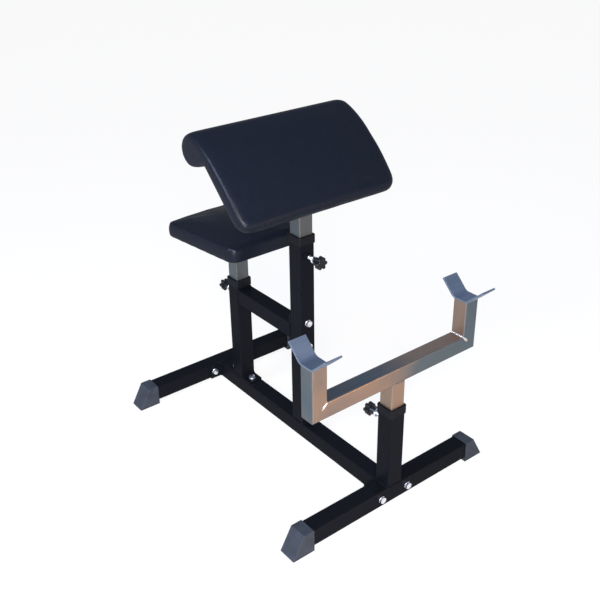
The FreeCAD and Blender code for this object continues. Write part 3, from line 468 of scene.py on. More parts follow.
def with_modifier(mesh, kind, **settings):
    """A mesh put through one modifier."""
    holder = new_object("holder", mesh)
    modifier = holder.modifiers.new("Shape", kind)
    for name, setting in settings.items():
        setattr(modifier, name, setting)
    made = settled(holder)
    bpy.data.objects.remove(holder)
    return made


def welded_solid(node):
    """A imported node's mesh as a bmesh with its split corners joined."""
    shape = bmesh.new()
    shape.from_mesh(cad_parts[node].data)
    bmesh.ops.remove_doubles(shape, verts=shape.verts, dist=SAME_CORNER)
    return shape


def solids(node):
    """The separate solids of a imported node, each as its points."""
    shape = welded_solid(node)
    left, found = set(shape.verts), []
    while left:
        wave, island = [left.pop()], []
        while wave:
            vert = wave.pop()
            island.append(vert.co.copy())
            for edge in vert.link_edges:
                other = edge.other_vert(vert)
                if other in left:
                    left.remove(other)
                    wave.append(other)
        found.append(island)
    shape.free()
    return found


def on_axis(points, axis):
    """A matrix whose +Z is the axis, standing at a solid's lower end, and the solid's length."""
    turned = UP.rotation_difference(axis).to_matrix()
    local = [turned.transposed() @ point for point in points]
    low = [min(point[i] for point in local) for i in range(3)]
    high = [max(point[i] for point in local) for i in range(3)]
    foot = turned @ Vector(((low[0] + high[0]) / 2, (low[1] + high[1]) / 2, low[2]))
    return Matrix.Translation(foot) @ turned.to_4x4(), high[2] - low[2]


def rings(shape, matrix, rows, ends="fans", material=0):
    """Join rings of points into a skin; its ends get fans, stay open or meet in a loop."""
    made = [[shape.verts.new(matrix @ Vector(point)) for point in row] for row in rows]
    faces = []
    for lower, upper in zip(made, made[1:] + made[:1] if ends == "loop" else made[1:]):
        for index in range(len(lower)):
            after = (index + 1) % len(lower)
            faces.append(shape.faces.new((lower[index], lower[after], upper[after], upper[index])))
    if ends == "fans":
        for row in (made[0], made[-1]):
            middle = shape.verts.new(sum((vert.co for vert in row), Vector()) / len(row))
            for index, vert in enumerate(row):
                faces.append(shape.faces.new((vert, row[(index + 1) % len(row)], middle)))
    for face in faces:
        face.material_index = material


def round_about(centre, first, second, radius, count):
    """Points of a circle about a centre, along two directions."""
    angles = [math.tau * index / count for index in range(count)]
    return [centre + (first * math.cos(angle) + second * math.sin(angle)) * radius
            for angle in angles]


# Fasteners

M10 = {"flats": 17 * MM, "head": 6.5 * MM, "radius": 5 * MM}
M8 = {"flats": 13 * MM, "head": 5.3 * MM, "radius": 4 * MM}
NUT_BORE = M10["radius"] + 0.05 * MM
WASHER_SLACK = 0.4 * MM
FIXING_WASHER, CLAMP_WASHER = 8 * MM, 10 * MM
# The hexagon's share of a lock nut's height; a collar with a nylon ring takes up the rest
HEXAGON_SHARE = 0.68
# Points round a fastener's head and round a rod, and rows of points on each thread
HEAD_POINTS, ROD_POINTS, THREAD_ROWS = 48, 28, 6
# A turned chamfer: its slope, and the shares of the half width from which it falls and up to which
# the end is flat
CHAMFER, CHAMFER_START, CHAMFER_RIM = 0.55, 0.97, 0.95
# A bore's mouth: how much wider and how deep its countersink is
MOUTH_WIDER, MOUTH_DEEP = 0.4 * MM, 0.5 * MM
# A bolt's threaded length, its plain shank's start and share of the radius, and its end's chamfer
THREADED, SHANK_START, SHANK_SHARE, ROD_CHAMFER = 14 * MM, 12 * MM, 0.98, 1.0 * MM
# The turned face under a bolt's head: its height, and its share of the half width
FACE_HEIGHT, FACE_SHARE = 0.4 * MM, 0.94
# Above 1, this rounds the threads' crests
THREAD_CURVE = 1.3
FASTENER_CREASE = math.radians(35)


def circle(radius, height, count=HEAD_POINTS):
    """Points of a level circle."""
    return round_about(UP * height, ACROSS, REARWARD, radius, count)


def hexagon(flats, height, slope=0.0):
    """Points of a hexagon whose corners fall away under a turned chamfer."""
    row = []
    for index in range(HEAD_POINTS):
        angle = math.tau * index / HEAD_POINTS
        within = (angle + math.pi / 6) % (math.pi / 3) - math.pi / 6
        reach = flats / 2 / math.cos(within)
        fall = slope * max(0.0, reach - flats / 2 * CHAMFER_START)
        row.append((reach * math.cos(angle), reach * math.sin(angle), height - fall))
    return row


def hex_block(shape, matrix, flats, low, high, bore=0.0, both_ends=False):
    """A hexagon block with chamfered corners, solid or bored through."""
    rim = flats / 2 * CHAMFER_RIM
    rows = [circle(rim, low), hexagon(flats, low, -CHAMFER if both_ends else 0.0),
            hexagon(flats, high, CHAMFER), circle(rim, high)]
    if bore:
        mouth = bore + MOUTH_WIDER
        rows = [circle(mouth, low), *rows, circle(mouth, high),
                circle(bore, high - MOUTH_DEEP), circle(bore, low + MOUTH_DEEP)]
    rings(shape, matrix, rows, "loop" if bore else "fans")


def washer(shape, matrix, outer, bore, thick):
    """A stamped washer with slightly rounded rims."""
    lip = 0.25 * thick
    profile = ((bore, lip), (bore + lip, 0), (outer - lip, 0), (outer, lip), (outer, thick - lip),
               (outer - lip, thick), (bore + lip, thick), (bore, thick - lip))
    rings(shape, matrix, [circle(radius, height) for radius, height in profile], "loop")


def threaded_rod(shape, matrix, radius, reach):
    """A rod with a rolled screw thread, chamfered at both ends."""
    pitch, depth = sizes().pitch, sizes().thread_depth
    count = max(2, int(reach / pitch * THREAD_ROWS))
    rows = []
    for row in range(count + 1):
        height = reach * row / count
        most = radius - max(0.0, ROD_CHAMFER - min(height, reach - height))
        ring = []
        for index in range(ROD_POINTS):
            angle = math.tau * index / ROD_POINTS
            phase = (height / pitch - index / ROD_POINTS) % 1.0
            out = min(most, radius - depth * abs(2 * phase - 1) ** THREAD_CURVE)
            ring.append((out * math.cos(angle), out * math.sin(angle), height))
        rows.append(ring)
    rings(shape, matrix, rows)


def hex_bolt(shape, points, axis, flats, head, radius):
    """A hexagon bolt in a packed bolt's place: its head at the axis's upper end."""
    matrix, reach = on_axis(points, axis)
    top, face = reach - head, flats / 2 * FACE_SHARE
    rings(shape, matrix, [circle(radius * SHANK_SHARE, height, ROD_POINTS)
                          for height in (SHANK_START, top)])
    threaded_rod(shape, matrix, radius, THREADED)
    rings(shape, matrix, [circle(face, height) for height in (top, top + FACE_HEIGHT)])
    hex_block(shape, matrix, flats, top + FACE_HEIGHT, reach)


def plated_piece(name, shape, body, node, *inserts, crease=FASTENER_CREASE):
    """A zinc-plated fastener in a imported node's place."""
    piece = new_piece(name, mesh_of(shape, crease), body, "zinc", "zinc", *inserts)
    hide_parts(node)


# Cushions

# How far the block that fills a board's recess reaches into the cushion, and how far the one that
# hollows the cover reaches out of it
RECESS_OVERLAP, HOLLOW_DEPTH = 0.6 * MM, 5 * MM
# Points of a board this close to its underside, and to its front or rear end, belong to them
SAME_LEVEL, SAME_END = 0.1 * MM, 1.0 * MM
# A pinned point faces the board's side at least this much, as a share of facing it squarely
PINNED_FACING = 0.3
CLOTH_FRAMES, CLOTH_PRESSURE = 20, 4.0
SMOOTH_ROUNDS = 3
# From this height above the board's underside the foam is uneven in full
UNEVEN_HEIGHT = 20 * MM
COVER_CREASE = math.radians(60)


def board_prism(node, normal, grow, sink):
    """A closed block over a board, grown at its sides and top, with its corners and base."""
    shape = welded_solid(node)
    heights = [vert.co.dot(normal) for vert in shape.verts]
    base, top = min(heights), max(heights)
    along = normal.cross(ACROSS)
    low = [vert.co for vert in shape.verts if vert.co.dot(normal) - base < SAME_LEVEL]
    rear = max(point.dot(along) for point in low)
    front = min(point.dot(along) for point in low)
    half_rear = max(point.dot(ACROSS) for point in low if rear - point.dot(along) < SAME_END)
    half_front = max(point.dot(ACROSS) for point in low if point.dot(along) - front < SAME_END)
    shape.free()
    corners = [(-half_front - grow, front - grow), (half_front + grow, front - grow),
               (half_rear + grow, rear + grow), (-half_rear - grow, rear + grow)]
    block = bmesh.new()
    rings(block, Matrix(), [[ACROSS * x + along * y + normal * height for x, y in corners]
                            for height in (base - sink, top + grow)])
    bmesh.ops.recalc_face_normals(block, faces=block.faces)
    return block, corners, base


def cushion_start(node, board, normal):
    """The cushion's solid with its board's recess filled, remeshed evenly."""
    shape = welded_solid(node)
    block, _, _ = board_prism(board, normal, RECESS_OVERLAP, 0.0)
    shape.from_mesh(plain_mesh(block))
    return with_modifier(plain_mesh(shape), "REMESH", mode="VOXEL", voxel_size=sizes().voxel)


def push_out(mesh, rises):
    """Move each point of a mesh along its normal; the normals are read first, all at once."""
    normals = [vert.normal.copy() for vert in mesh.vertices]
    for vert, normal, rise in zip(mesh.vertices, normals, rises):
        vert.co += normal * rise


def blow_up(mesh, fixed, cap):
    """Blow a cushion up as cloth under pressure, and add its swelling, up to a cap, to the form."""
    piece = new_object("swelling", mesh)
    starts = [(vert.co.copy(), vert.normal.copy()) for vert in mesh.vertices]
    push_out(mesh, [0.0 if vert.index in fixed else -sizes().draw_in for vert in mesh.vertices])
    pins = piece.vertex_groups.new(name="Pins")
    pins.add(list(fixed), 1.0, "REPLACE")
    cloth = piece.modifiers.new("Swell", "CLOTH")
    cloth.settings.vertex_group_mass = "Pins"
    cloth.settings.use_pressure = True
    cloth.settings.uniform_pressure_force = CLOTH_PRESSURE
    cloth.settings.effector_weights.gravity = 0.0
    cloth.collision_settings.use_collision = False
    cloth.point_cache.frame_start = 1
    cloth.point_cache.frame_end = CLOTH_FRAMES
    scene = bpy.context.scene
    for number in range(1, CLOTH_FRAMES + 1):
        scene.frame_set(number)
    made = settled(piece)
    scene.frame_set(1)
    bpy.data.objects.remove(piece)
    swells = [max(0.0, (vert.co - start).dot(normal))
              for vert, (start, normal) in zip(made.vertices, starts)]
    share = min(1.0, cap / max(swells))
    for vert, (start, normal), swell in zip(made.vertices, starts, swells):
        vert.co = start + normal * (swell * share)
    return made


def smooth(mesh, rounds, fixed):
    """Relax a mesh's points, all but the fixed ones."""
    shape = bmesh.new()
    shape.from_mesh(mesh)
    loose = [vert for vert in shape.verts if vert.index not in fixed]
    for _ in range(rounds):
        bmesh.ops.smooth_vert(shape, verts=loose, factor=0.5, use_axis_x=True, use_axis_y=True,
                              use_axis_z=True)
    shape.to_mesh(mesh)
    shape.free()


def uneven(point):
    """A slow wave over a cushion, from -1 to 1, made of a few sines."""
    return (math.sin(point.x * 41 + 1.3) * math.sin(point.y * 37 + 0.4)
            + 0.6 * math.sin(point.x * 83 - point.z * 29 + 2.1)) / 1.6


def make_cushion(name, node, board, body, normal, cap):
    """A cushion's cover: swollen, smoothed and hollow for its board."""
    mesh = cushion_start(node, board, normal)
    block, _, base = board_prism(board, normal, sizes().board_fit, HOLLOW_DEPTH)
    fixed = {vert.index for vert in mesh.vertices
             if vert.co.dot(normal) - base < sizes().pin_height
             and vert.normal.dot(normal) < -PINNED_FACING}
    mesh = blow_up(mesh, fixed, cap)
    smooth(mesh, SMOOTH_ROUNDS, fixed)
    mesh = with_modifier(mesh, "SUBSURF", levels=1, render_levels=1)
    rises = []
    for vert in mesh.vertices:
        share = min(1.0, max(0.0, (vert.co.dot(normal) - base) / UNEVEN_HEIGHT))
        rises.append(uneven(vert.co) * sizes().unevenness * share + sizes().fullness)
    push_out(mesh, rises)
    tool = new_object("hollow", plain_mesh(block))
    mesh = with_modifier(mesh, "BOOLEAN", object=tool, operation="DIFFERENCE", solver="MANIFOLD")
    bpy.data.objects.remove(tool)
    mesh.materials.clear()
    piece = new_piece(name, shaded(mesh, COVER_CREASE), body, "black_vinyl", "vinyl")
    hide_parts(node)


def pad_normal():
    """The direction out of the arm pad's slope."""
    slope = sizes().pad_slope
    return Vector((0, -math.sin(slope), math.cos(slope)))


class BENCH_OT_seat_cushion(bpy.types.Operator):
    """Make the seat's vinyl cover"""
    bl_idname = "bench.seat_cushion"
    bl_label = "Seat cushion"

    def execute(self, context):
        make_cushion("seat_cover", "seat_cushion", "seat_board", "seat", UP, sizes().seat_cap)
        return {"FINISHED"}


class BENCH_OT_arm_pad(bpy.types.Operator):
    """Make the arm pad's vinyl cover"""
    bl_idname = "bench.arm_pad"
    bl_label = "Arm pad"

    def execute(self, context):
        make_cushion("arm_pad_cover", "arm_pad_cushion", "pad_board", "arm_pad", pad_normal(),
                     sizes().pad_cap)
        return {"FINISHED"}


# Hems under the boards

# A hem starts this far outside its board and is drawn in steps; its inner edge wanders and sags
HEM_LAP, HEM_STEP, HEM_WANDER, HEM_SAG = 3 * MM, 6 * MM, 1.2 * MM, 0.5 * MM
OUTER_SAG_SHARE = 0.3
HEM_CREASE = math.radians(50)
# Where across the hem its staples sit, how far they are askew and how far below it they are drawn
STAPLE_ROW, STAPLE_SKEW, STAPLE_DROP = 0.55, 0.3, 0.2 * MM
# A staple's path: shares of its crown along it, and of its wire's thickness up from the hem
STAPLE_PATH = ((-0.5, 0.6), (-0.5, 0.0), (-0.42, -0.9), (0.42, -0.9), (0.5, 0.0), (0.5, 0.6))
WIRE_POINTS = 8


def perimeter(corners, inset):
    """A board's outline moved inwards, as corner points."""
    middle = sum(y for _, y in corners) / len(corners)
    return [Vector((x - math.copysign(inset, x), y - math.copysign(inset, y - middle)))
            for x, y in corners]


def walk(points, step):
    """Points at even steps round a closed outline, with the direction of travel."""
    for start, end in zip(points, points[1:] + points[:1]):
        span = (end - start).length
        count = max(1, round(span / step))
        for index in range(count):
            yield start.lerp(end, (index + 0.5) / count), (end - start).normalized()


def sweep(shape, path, radius, reference):
    """A round wire along an open path."""
    rows = []
    for index, point in enumerate(path):
        ahead = path[min(index + 1, len(path) - 1)] - path[max(index - 1, 0)]
        ahead.normalize()
        side = ahead.cross(reference)
        if side.length < 0.1:
            # The wire runs along the reference here, so another direction takes its place
            side = ahead.cross(ACROSS if abs(ahead.x) < 0.9 else REARWARD)
        side.normalize()
        rows.append(round_about(point, side, ahead.cross(side), radius, WIRE_POINTS))
    rings(shape, Matrix(), rows)


def make_hem(name, board, body, normal, seed):
    """The cover's edge, turned under a board and stapled to it."""
    chance = random.Random(seed)
    along = normal.cross(ACROSS)
    block, corners, base = board_prism(board, normal, 0.0, 0.0)
    block.free()
    low = base - sizes().hem_thick

    def at(point, height):
        return ACROSS * point.x + along * point.y + normal * height

    rows = []
    for point, way in walk(perimeter(corners, -HEM_LAP), HEM_STEP):
        inward = Vector((-way.y, way.x))
        reach = sizes().hem_width + HEM_LAP + chance.uniform(-HEM_WANDER, HEM_WANDER)
        sag = chance.uniform(0.0, HEM_SAG)
        inside = point + inward * reach
        rows.append((at(point, base), at(point, low - sag * OUTER_SAG_SHARE),
                     at(inside, low - sag), at(inside, base)))
    strip = bmesh.new()
    rings(strip, Matrix(), rows, "loop")
    new_piece(f"{name}_hem", mesh_of(strip, HEM_CREASE), body, "black_vinyl", "vinyl")
    wires = bmesh.new()
    thick, crown = sizes().staple_wire, sizes().staple_crown
    row = perimeter(corners, sizes().hem_width * STAPLE_ROW)
    for point, way in walk(row, sizes().staple_spacing):
        aim = math.atan2(way.y, way.x) + chance.uniform(-STAPLE_SKEW, STAPLE_SKEW)
        ahead = Vector((math.cos(aim), math.sin(aim)))
        path = [at(point + ahead * (share * crown), low - STAPLE_DROP + lift * thick)
                for share, lift in STAPLE_PATH]
        sweep(wires, path, thick / 2, normal)
    new_piece(f"{name}_staples", mesh_of(wires), body, "zinc", "zinc")


class BENCH_OT_hems(bpy.types.Operator):
    """Turn the covers' edges under their boards and staple them"""
    bl_idname = "bench.hems"
    bl_label = "Hems and staples"

    def execute(self, context):
        make_hem("seat", "seat_board", "seat", UP, 3)
        make_hem("arm_pad", "pad_board", "arm_pad", pad_normal(), 5)
        return {"FINISHED"}


# Welds

# Points round a bead, rows of points on each ripple, and a ripple's depth as a share of the radius
BEAD_POINTS, RIPPLE_ROWS, RIPPLE_DEPTH = 8, 4, 0.16
# An open bead's size at its tips, and how fast it grows from there over a length of its radius
BEAD_TIP, BEAD_GROWTH = 0.35, 0.5
CORNER_STEPS = 6
# Other beads as shares of the frame's: weld nut, rack's stem, rack's inner corner, cradle
NUT_BEAD, STEM_BEAD, CORNER_BEAD, CRADLE_BEAD = 0.55, 0.8, 1.2, 0.5
NUT_POINTS, NUT_REACH = 36, 0.96
# A mitre's weld is ground down to show little, and covers the mitre's inner end only
MITRE_SINK, MITRE_START, MITRE_END = 0.55, -1 * MM, 17 * MM
# A cradle's weld lies just inside its upright's outline
CRADLE_INSET = 1.2 * MM
# The welds at the front and rear of the rack's stem lie nearly flush
FLUSH_BEAD, FLUSH_SINK = 2.6 * MM, 1.5 * MM


def bead(shape, path, radius, normal, closed=True):
    """A rippled weld bead along a path that lies in a plane; an open one tapers to its tips."""
    points = path + path[:1] if closed else path
    spans = [(end - start).length for start, end in zip(points, points[1:])]
    total = sum(spans)
    ripples = max(2, round(total / sizes().ripple))
    count = ripples * RIPPLE_ROWS
    rows, at, passed = [], 0, 0.0
    for number in range(count if closed else count + 1):
        distance = total * number / count
        while at < len(spans) - 1 and distance > passed + spans[at]:
            passed += spans[at]
            at += 1
        ahead = (points[at + 1] - points[at]).normalized()
        place = points[at] + ahead * (distance - passed)
        wave = abs(math.cos(math.pi * ripples * number / count))
        size = radius * (1 - RIPPLE_DEPTH * (1 - wave))
        if not closed:
            near_tip = min(distance, total - distance)
            size *= min(1.0, BEAD_TIP + near_tip / radius * BEAD_GROWTH)
        rows.append(round_about(place, ahead.cross(normal), normal, size, BEAD_POINTS))
    rings(shape, Matrix(), rows, "loop" if closed else "fans")


def square_path(centre, first, second, half):
    """A rounded square about a centre, along two directions."""
    corner = sizes().tube_round
    path = []
    for quarter in range(4):
        diagonal = math.pi / 2 * (quarter + 0.5)
        x = math.copysign(half - corner, math.cos(diagonal))
        y = math.copysign(half - corner, math.sin(diagonal))
        for step in range(CORNER_STEPS + 1):
            angle = math.pi / 2 * (quarter + step / CORNER_STEPS)
            path.append(centre + first * (x + corner * math.cos(angle))
                        + second * (y + corner * math.sin(angle)))
    return path


def top_path(x, low, high):
    """A straight path from front to rear on a tube's top, clear of its round corners."""
    inset = sizes().tube_round
    return [Vector((x, y, high.z)) for y in (low.y + inset, high.y - inset)]


def middle_of(node):
    """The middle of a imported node's box."""
    low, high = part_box(node)
    return (low + high) / 2


def foot_of(points):
    """Where along Y a weld nut stands on the nearest post."""
    middle = sum(point.y for point in points) / len(points)
    post = min((middle_of(node).y for node in POSTS), key=lambda y: abs(y - middle))
    nearest = min if middle > post else max
    return nearest(point.y for point in points)


class BENCH_OT_frame_welds(bpy.types.Operator):
    """Lay the frame's painted weld beads"""
    bl_idname = "bench.frame_welds"
    bl_label = "Frame welds"

    def execute(self, context):
        shape = bmesh.new()
        size = sizes().bead
        for node in POSTS:
            low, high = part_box(node)
            centre = middle_of(node)
            centre.z = low.z
            bead(shape, square_path(centre, ACROSS, REARWARD, (high.x - low.x) / 2), size, UP)
        for node in ("main_beam", "upper_brace"):
            low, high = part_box(node)
            for y in (low.y, high.y):
                centre = middle_of(node)
                centre.y = y
                path = square_path(centre, ACROSS, UP, (high.x - low.x) / 2)
                bead(shape, path, size, REARWARD)
        for points in solids("clamp_weld_nuts"):
            height = sum(point.z for point in points) / len(points)
            reach = max(abs(point.x) for point in points) * NUT_REACH
            path = round_about(Vector((0, foot_of(points), height)), ACROSS, UP, reach, NUT_POINTS)
            bead(shape, path, size * NUT_BEAD, REARWARD)
        new_piece("frame_welds", mesh_of(shape), "frame", "frame_paint", "paint")
        return {"FINISHED"}


class BENCH_OT_rack_welds(bpy.types.Operator):
    """Lay the bare weld beads of the rack and of the slide tubes' plates"""
    bl_idname = "bench.rack_welds"
    bl_label = "Rack and plate welds"

    def execute(self, context):
        size, ground, inset = sizes().bead, sizes().mitre_bead, sizes().tube_round
        low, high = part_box("rack_slide_tube")
        half = (high.x - low.x) / 2
        bar_low, bar_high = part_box("rack_crossbar")
        shape = bmesh.new()
        for side, upright in ((-1, "rack_left_upright"), (1, "rack_right_upright")):
            bead(shape, top_path(half * side, low, high), size * STEM_BEAD, UP, closed=False)
            inner = (bar_high.x - (bar_high.z - bar_low.z)) * side
            for y, out in ((bar_low.y, -REARWARD), (bar_high.y, REARWARD)):
                path = [Vector((inner + step * side, y, bar_high.z - step))
                        - out * (ground * MITRE_SINK) for step in (MITRE_START, MITRE_END)]
                bead(shape, path, ground, out, closed=False)
            bead(shape, top_path(inner, bar_low, bar_high), size * CORNER_BEAD, UP, closed=False)
            centre = middle_of(upright)
            centre.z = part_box(upright)[1].z
            path = square_path(centre, ACROSS, REARWARD, half - CRADLE_INSET)
            bead(shape, path, size * CRADLE_BEAD, UP)
        new_piece("rack_welds", mesh_of(shape), "rack", "bare_steel", "weld")
        flush = bmesh.new()
        for y, out in ((low.y, -REARWARD), (high.y, REARWARD)):
            path = [Vector((x, y, high.z)) - out * FLUSH_SINK for x in (inset - half, half - inset)]
            bead(flush, path, FLUSH_BEAD, out, closed=False)
        new_piece("rack_flush_welds", mesh_of(flush), "rack", "bare_steel", "cross steel")
        for name, body, slope in (("seat", "seat", 0.0), ("pad", "arm_pad", sizes().pad_slope)):
            low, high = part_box(f"{name}_slide_tube")
            centre = middle_of(f"{name}_slide_tube")
            centre.z = high.z - (high.y - low.y) / 2 * math.tan(slope)
            path = square_path(centre, ACROSS, REARWARD, half)
            for point in path:
                point.z += (point.y - centre.y) * math.tan(slope)
            ring = bmesh.new()
            bead(ring, path, size, pad_normal() if slope else UP)
            new_piece(f"{name}_plate_weld", mesh_of(ring), body, "bare_steel", "weld")
        return {"FINISHED"}


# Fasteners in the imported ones' places

class BENCH_OT_frame_fasteners(bpy.types.Operator):
    """Make the frame's bolts, washers and lock nuts"""
    bl_idname = "bench.frame_fasteners"
    bl_label = "Frame fasteners"

    def execute(self, context):
        for name, axis in (("frame", -REARWARD), ("seat_post", UP)):
            bolts = bmesh.new()
            for points in solids(f"{name}_bolts"):
                hex_bolt(bolts, points, axis, **M10)
            plated_piece(f"{name}_hex_bolts", bolts, "frame", f"{name}_bolts")
        discs = bmesh.new()
        for points in solids("frame_washers"):
            spans = [max(p[i] for p in points) - min(p[i] for p in points) for i in range(3)]
            axis = UP if spans[2] == min(spans) else REARWARD
            matrix, thick = on_axis(points, axis)
            washer(discs, matrix, max(spans) / 2, M10["radius"] + WASHER_SLACK, thick)
        plated_piece("frame_flat_washers", discs, "frame", "frame_washers")
        nuts = bmesh.new()
        for points in solids("frame_lock_nuts"):
            self.lock_nut(nuts, *on_axis(points, REARWARD))
        plated_piece("frame_nylon_lock_nuts", nuts, "frame", "frame_lock_nuts", "insert")
        return {"FINISHED"}

    def lock_nut(self, shape, matrix, height):
        """A hexagon nut with a turned collar that holds a nylon ring."""
        base = height * HEXAGON_SHARE
        hex_block(shape, matrix, M10["flats"], 0.0, base, NUT_BORE)
        collar = ((7.6, base - 0.2 * MM), (7.6, height - 1.6 * MM), (7.1, height - 0.6 * MM),
                  (6.3, height))
        ring = ((6.3, height), (5.1, height - 0.3 * MM), (5.1, base))
        for material, profile in enumerate((collar, ring)):
            rows = [circle(radius * MM, level) for radius, level in profile]
            rings(shape, matrix, rows, "open", material)


class BENCH_OT_cushion_fixings(bpy.types.Operator):
    """Make the bolts and washers under both cushions"""
    bl_idname = "bench.cushion_fixings"
    bl_label = "Cushion fixings"

    def execute(self, context):
        for name, body, normal in (("seat", "seat", UP), ("pad", "arm_pad", pad_normal())):
            bolts, discs = bmesh.new(), bmesh.new()
            for points in solids(f"{name}_fixing_bolts"):
                hex_bolt(bolts, points, -normal, **M8)
            for points in solids(f"{name}_fixing_washers"):
                matrix, thick = on_axis(points, normal)
                washer(discs, matrix, FIXING_WASHER, M8["radius"] + WASHER_SLACK, thick)
            plated_piece(f"{name}_hex_bolts", bolts, body, f"{name}_fixing_bolts")
            plated_piece(f"{name}_flat_washers", discs, body, f"{name}_fixing_washers")
        return {"FINISHED"}


class BENCH_OT_clamp_screws(bpy.types.Operator):
    """Make the clamp screws' threads, nuts and washers"""
    bl_idname = "bench.clamp_screws"
    bl_label = "Clamp screws"

    def execute(self, context):
        for name, side in CLAMP_SIDES.items():
            clamp, axis = f"{name}_clamp", REARWARD * side
            rod, jam, disc = bmesh.new(), bmesh.new(), bmesh.new()
            matrix, reach = on_axis(solids(f"{clamp}_screw")[0], axis)
            threaded_rod(rod, matrix, M10["radius"], reach)
            plated_piece(f"{name}_threaded_rod", rod, clamp, f"{clamp}_screw", crease=None)
            matrix, height = on_axis(solids(f"{clamp}_jam_nut")[0], axis)
            hex_block(jam, matrix, M10["flats"], 0.0, height, NUT_BORE, both_ends=True)
            plated_piece(f"{name}_jam_nut", jam, clamp, f"{clamp}_jam_nut")
            matrix, thick = on_axis(solids(f"{clamp}_washer")[0], axis)
            washer(disc, matrix, CLAMP_WASHER, NUT_BORE, thick)
            plated_piece(f"{name}_flat_washer", disc, f"{clamp}_carrier", f"{clamp}_washer")
        return {"FINISHED"}


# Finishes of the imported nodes

# The first word that is part of a node's name gives its finish
NODE_FINISHES = (
    ("foot_cap", "rubber"), ("collar", "nylon"), ("knob", "glossy nylon"),
    ("seat_board", "seat plywood"), ("pad_board", "pad plywood"), ("clamp_weld_nuts", "paint"),
    ("weld_nuts", "zinc"), ("tee_nuts", "zinc"), ("crossbar", "cross steel"),
    # Slide tubes of the seat and arm pad take a darker steel as painted shade
    ("cradle", "strip steel"), ("rack_slide_tube", "stem steel"), ("slide_tube", "shaded steel"),
    ("upright", "upright steel"), ("", "paint"),
)


class BENCH_OT_packed_finishes(bpy.types.Operator):
    """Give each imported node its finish"""
    bl_idname = "bench.packed_finishes"
    bl_label = "Finishes of the packed nodes"

    def execute(self, context):
        for name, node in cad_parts.items():
            chosen = next(made for word, made in NODE_FINISHES if word in name)
            node.data.materials.clear()
            node.data.materials.append(finish(chosen))
        return {"FINISHED"}


# Stage

# Share of plain white in the floor that the camera sees; the rest keeps the bench's shadow
WHITE_SHARE = 0.86


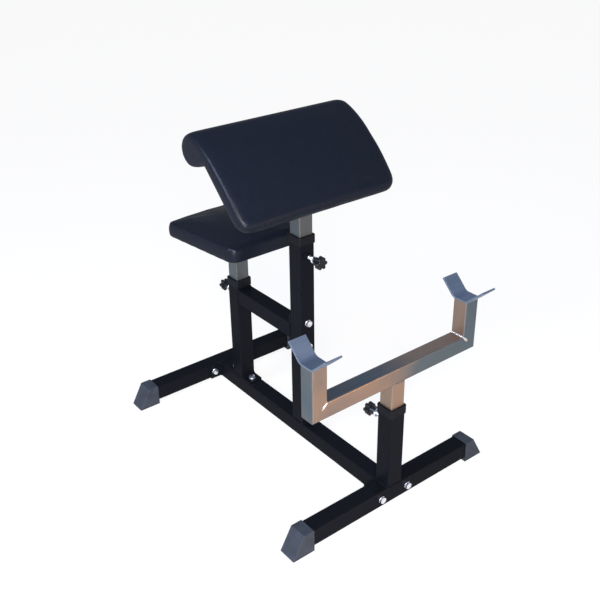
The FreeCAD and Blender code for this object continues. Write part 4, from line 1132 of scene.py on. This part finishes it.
class BENCH_OT_stage(bpy.types.Operator):
    """Make the floor, the lights, the world and the camera"""
    bl_idname = "bench.stage"
    bl_label = "Stage"

    def execute(self, context):
        self.make_floor()
        self.make_world(context.scene)
        self.make_lights()
        self.make_camera(context.scene)
        context.scene.view_settings.view_transform = "Standard"
        return {"FINISHED"}

    def make_floor(self):
        """A pale painted floor that turns white for the camera but keeps the bench's shadow."""
        shape = bmesh.new()
        bmesh.ops.create_grid(shape, x_segments=1, y_segments=1, size=sizes().floor_size / 2)
        mesh = plain_mesh(shape)
        mesh.name = "floor"
        floor = new_object("floor", mesh)
        material, tree, shader, place = start_material(
            "Painted studio floor", {"Roughness": 0.9, "Specular IOR Level": 0.0})
        mottle = add(tree, "ShaderNodeTexNoise",
                     {"Vector": place, "Scale": 1 / (667 * MM), "Detail": 3.0})
        shade = add(tree, "ShaderNodeMapRange", {"Value": mottle, "To Min": 0.985, "To Max": 1.0})
        tint = add(tree, "ShaderNodeMix", {FACTOR: 1.0, FIRST: colours().floor, SECOND: shade},
                   **MULTIPLY)
        fill(tree, shader, {"Base Color": tint})
        ray = add(tree, "ShaderNodeLightPath").outputs
        seen = add(tree, "ShaderNodeMath", {0: ray["Is Camera Ray"], 1: ray["Is Glossy Ray"]},
                   operation="MAXIMUM")
        white = add(tree, "ShaderNodeMath", {0: seen, 1: ray["Is Transmission Ray"]},
                    operation="MAXIMUM")
        share = add(tree, "ShaderNodeMath", {0: white, 1: WHITE_SHARE}, operation="MULTIPLY")
        glow = add(tree, "ShaderNodeEmission", {"Color": colours().backdrop, "Strength": 1.0})
        mixed = add(tree, "ShaderNodeMixShader", {0: share, 1: shader, 2: glow})
        fill(tree, tree.nodes["Material Output"], {"Surface": mixed})
        mesh.materials.append(material)

    def make_world(self, scene):
        """Soft light from all round: cool overhead, and as white as the floor at the horizon."""
        world = bpy.data.worlds.new("Studio")
        world.use_nodes = True
        tree = world.node_tree
        place = add(tree, "ShaderNodeTexCoord")
        axes = add(tree, "ShaderNodeSeparateXYZ", {0: place.outputs["Generated"]})
        rise = add(tree, "ShaderNodeMapRange",
                   {"Value": axes.outputs["Z"], "From Min": 0.1, "From Max": 0.45},
                   interpolation_type="SMOOTHSTEP")
        tint = add(tree, "ShaderNodeMix",
                   {FACTOR: rise, FIRST: colours().horizon, SECOND: colours().sky}, **BLEND)
        fill(tree, tree.nodes["Background"], {"Color": tint, "Strength": 1.0})
        scene.world = world

    def make_lights(self):
        """A broad key, a strip and a flash by the camera, a window on the left, a low warm spot."""
        self.lamp("Key", "SUN", 1.5, "#fff3e6", (-1.7, -2.0, 2.0), (0, 0, 0),
                  angle=math.radians(20))
        self.lamp("Strip", "AREA", 32.0, "#eef3ff", (-1.75, -2.1, 0.6), (0, 0, 0.5),
                  shape="RECTANGLE", size=0.3, size_y=1.0)
        self.lamp("Flash", "AREA", 75.0, "#eef4ff", (-1.35, -1.85, 1.6), (0, 0, 0.6), size=0.7)
        self.lamp("Window", "AREA", 85.0, "#cfe0ff", (-2.1, -0.15, 2.3), (-0.2, -0.1, 0.8),
                  shape="RECTANGLE", size=0.9, size_y=1.4)
        self.lamp("Low sun", "SPOT", 110.0, "#ffb97a", (0.85, -2.15, 0.4), (-0.2, -0.42, 0.3),
                  spot_size=math.radians(25), spot_blend=1.0, shadow_soft_size=0.3)

    def lamp(self, name, kind, energy, code, place, aim, **settings):
        """A lamp at a place, turned to what it lights."""
        data = bpy.data.lights.new(name, kind)
        data.energy, data.color = energy, linear(code)[:3]
        for key, setting in settings.items():
            setattr(data, key, setting)
        holder = new_object(name, data)
        holder.location = place
        holder.rotation_euler = (Vector(aim) - Vector(place)).to_track_quat("-Z", "Y").to_euler()

    def make_camera(self, scene):
        """The camera at the photograph's angle."""
        data = bpy.data.cameras.new("Camera")
        camera = new_object("Camera", data)
        data.sensor_width = 36.0
        data.lens = sizes().lens
        data.clip_end = 100.0
        about, rise = sizes().camera_turn, sizes().camera_rise
        back = Vector((math.sin(about) * math.cos(rise), -math.cos(about) * math.cos(rise),
                       math.sin(rise)))
        camera.rotation_mode = "QUATERNION"
        level = (-back).to_track_quat("-Z", "Y")
        camera.rotation_quaternion = level @ Quaternion((0, 0, 1), sizes().camera_roll)
        camera.location = sizes().camera_place
        scene.camera = camera


class BENCH_PT_panel(bpy.types.Panel):
    """Steps that dress the bench, and its sizes and colours"""
    bl_idname = "BENCH_PT_panel"
    bl_label = "Preacher curl bench"
    bl_space_type = "VIEW_3D"
    bl_region_type = "UI"
    bl_category = "Bench"

    def draw(self, context):
        for step in STEPS:
            self.layout.operator(step.bl_idname)
        for group in (context.scene.bench_sizes, context.scene.bench_colours):
            box = self.layout.box()
            for name in group.bl_rna.properties.keys():
                if name not in ("rna_type", "name"):
                    box.prop(group, name)


STEPS = (
    BENCH_OT_packed_finishes, BENCH_OT_seat_cushion, BENCH_OT_arm_pad, BENCH_OT_hems,
    BENCH_OT_frame_welds, BENCH_OT_rack_welds, BENCH_OT_frame_fasteners, BENCH_OT_cushion_fixings,
    BENCH_OT_clamp_screws, BENCH_OT_stage,
)
CLASSES = (BenchColours, BenchSizes, *STEPS, BENCH_PT_panel)


def register():
    """Register the add-on's classes and its settings on the scene."""
    for item in CLASSES:
        bpy.utils.register_class(item)
    bpy.types.Scene.bench_colours = bpy.props.PointerProperty(type=BenchColours)
    bpy.types.Scene.bench_sizes = bpy.props.PointerProperty(type=BenchSizes)


def unregister():
    """Take the add-on's settings and classes away again."""
    del bpy.types.Scene.bench_sizes
    del bpy.types.Scene.bench_colours
    for item in reversed(CLASSES):
        bpy.utils.unregister_class(item)


def main():
    """Dress the bench."""
    register()
    bpy.ops.bench.packed_finishes()
    bpy.ops.bench.seat_cushion()
    bpy.ops.bench.arm_pad()
    bpy.ops.bench.hems()
    bpy.ops.bench.frame_welds()
    bpy.ops.bench.rack_welds()
    bpy.ops.bench.frame_fasteners()
    bpy.ops.bench.cushion_fixings()
    bpy.ops.bench.clamp_screws()
    bpy.ops.bench.stage()


if __name__ == "__main__":
    main()
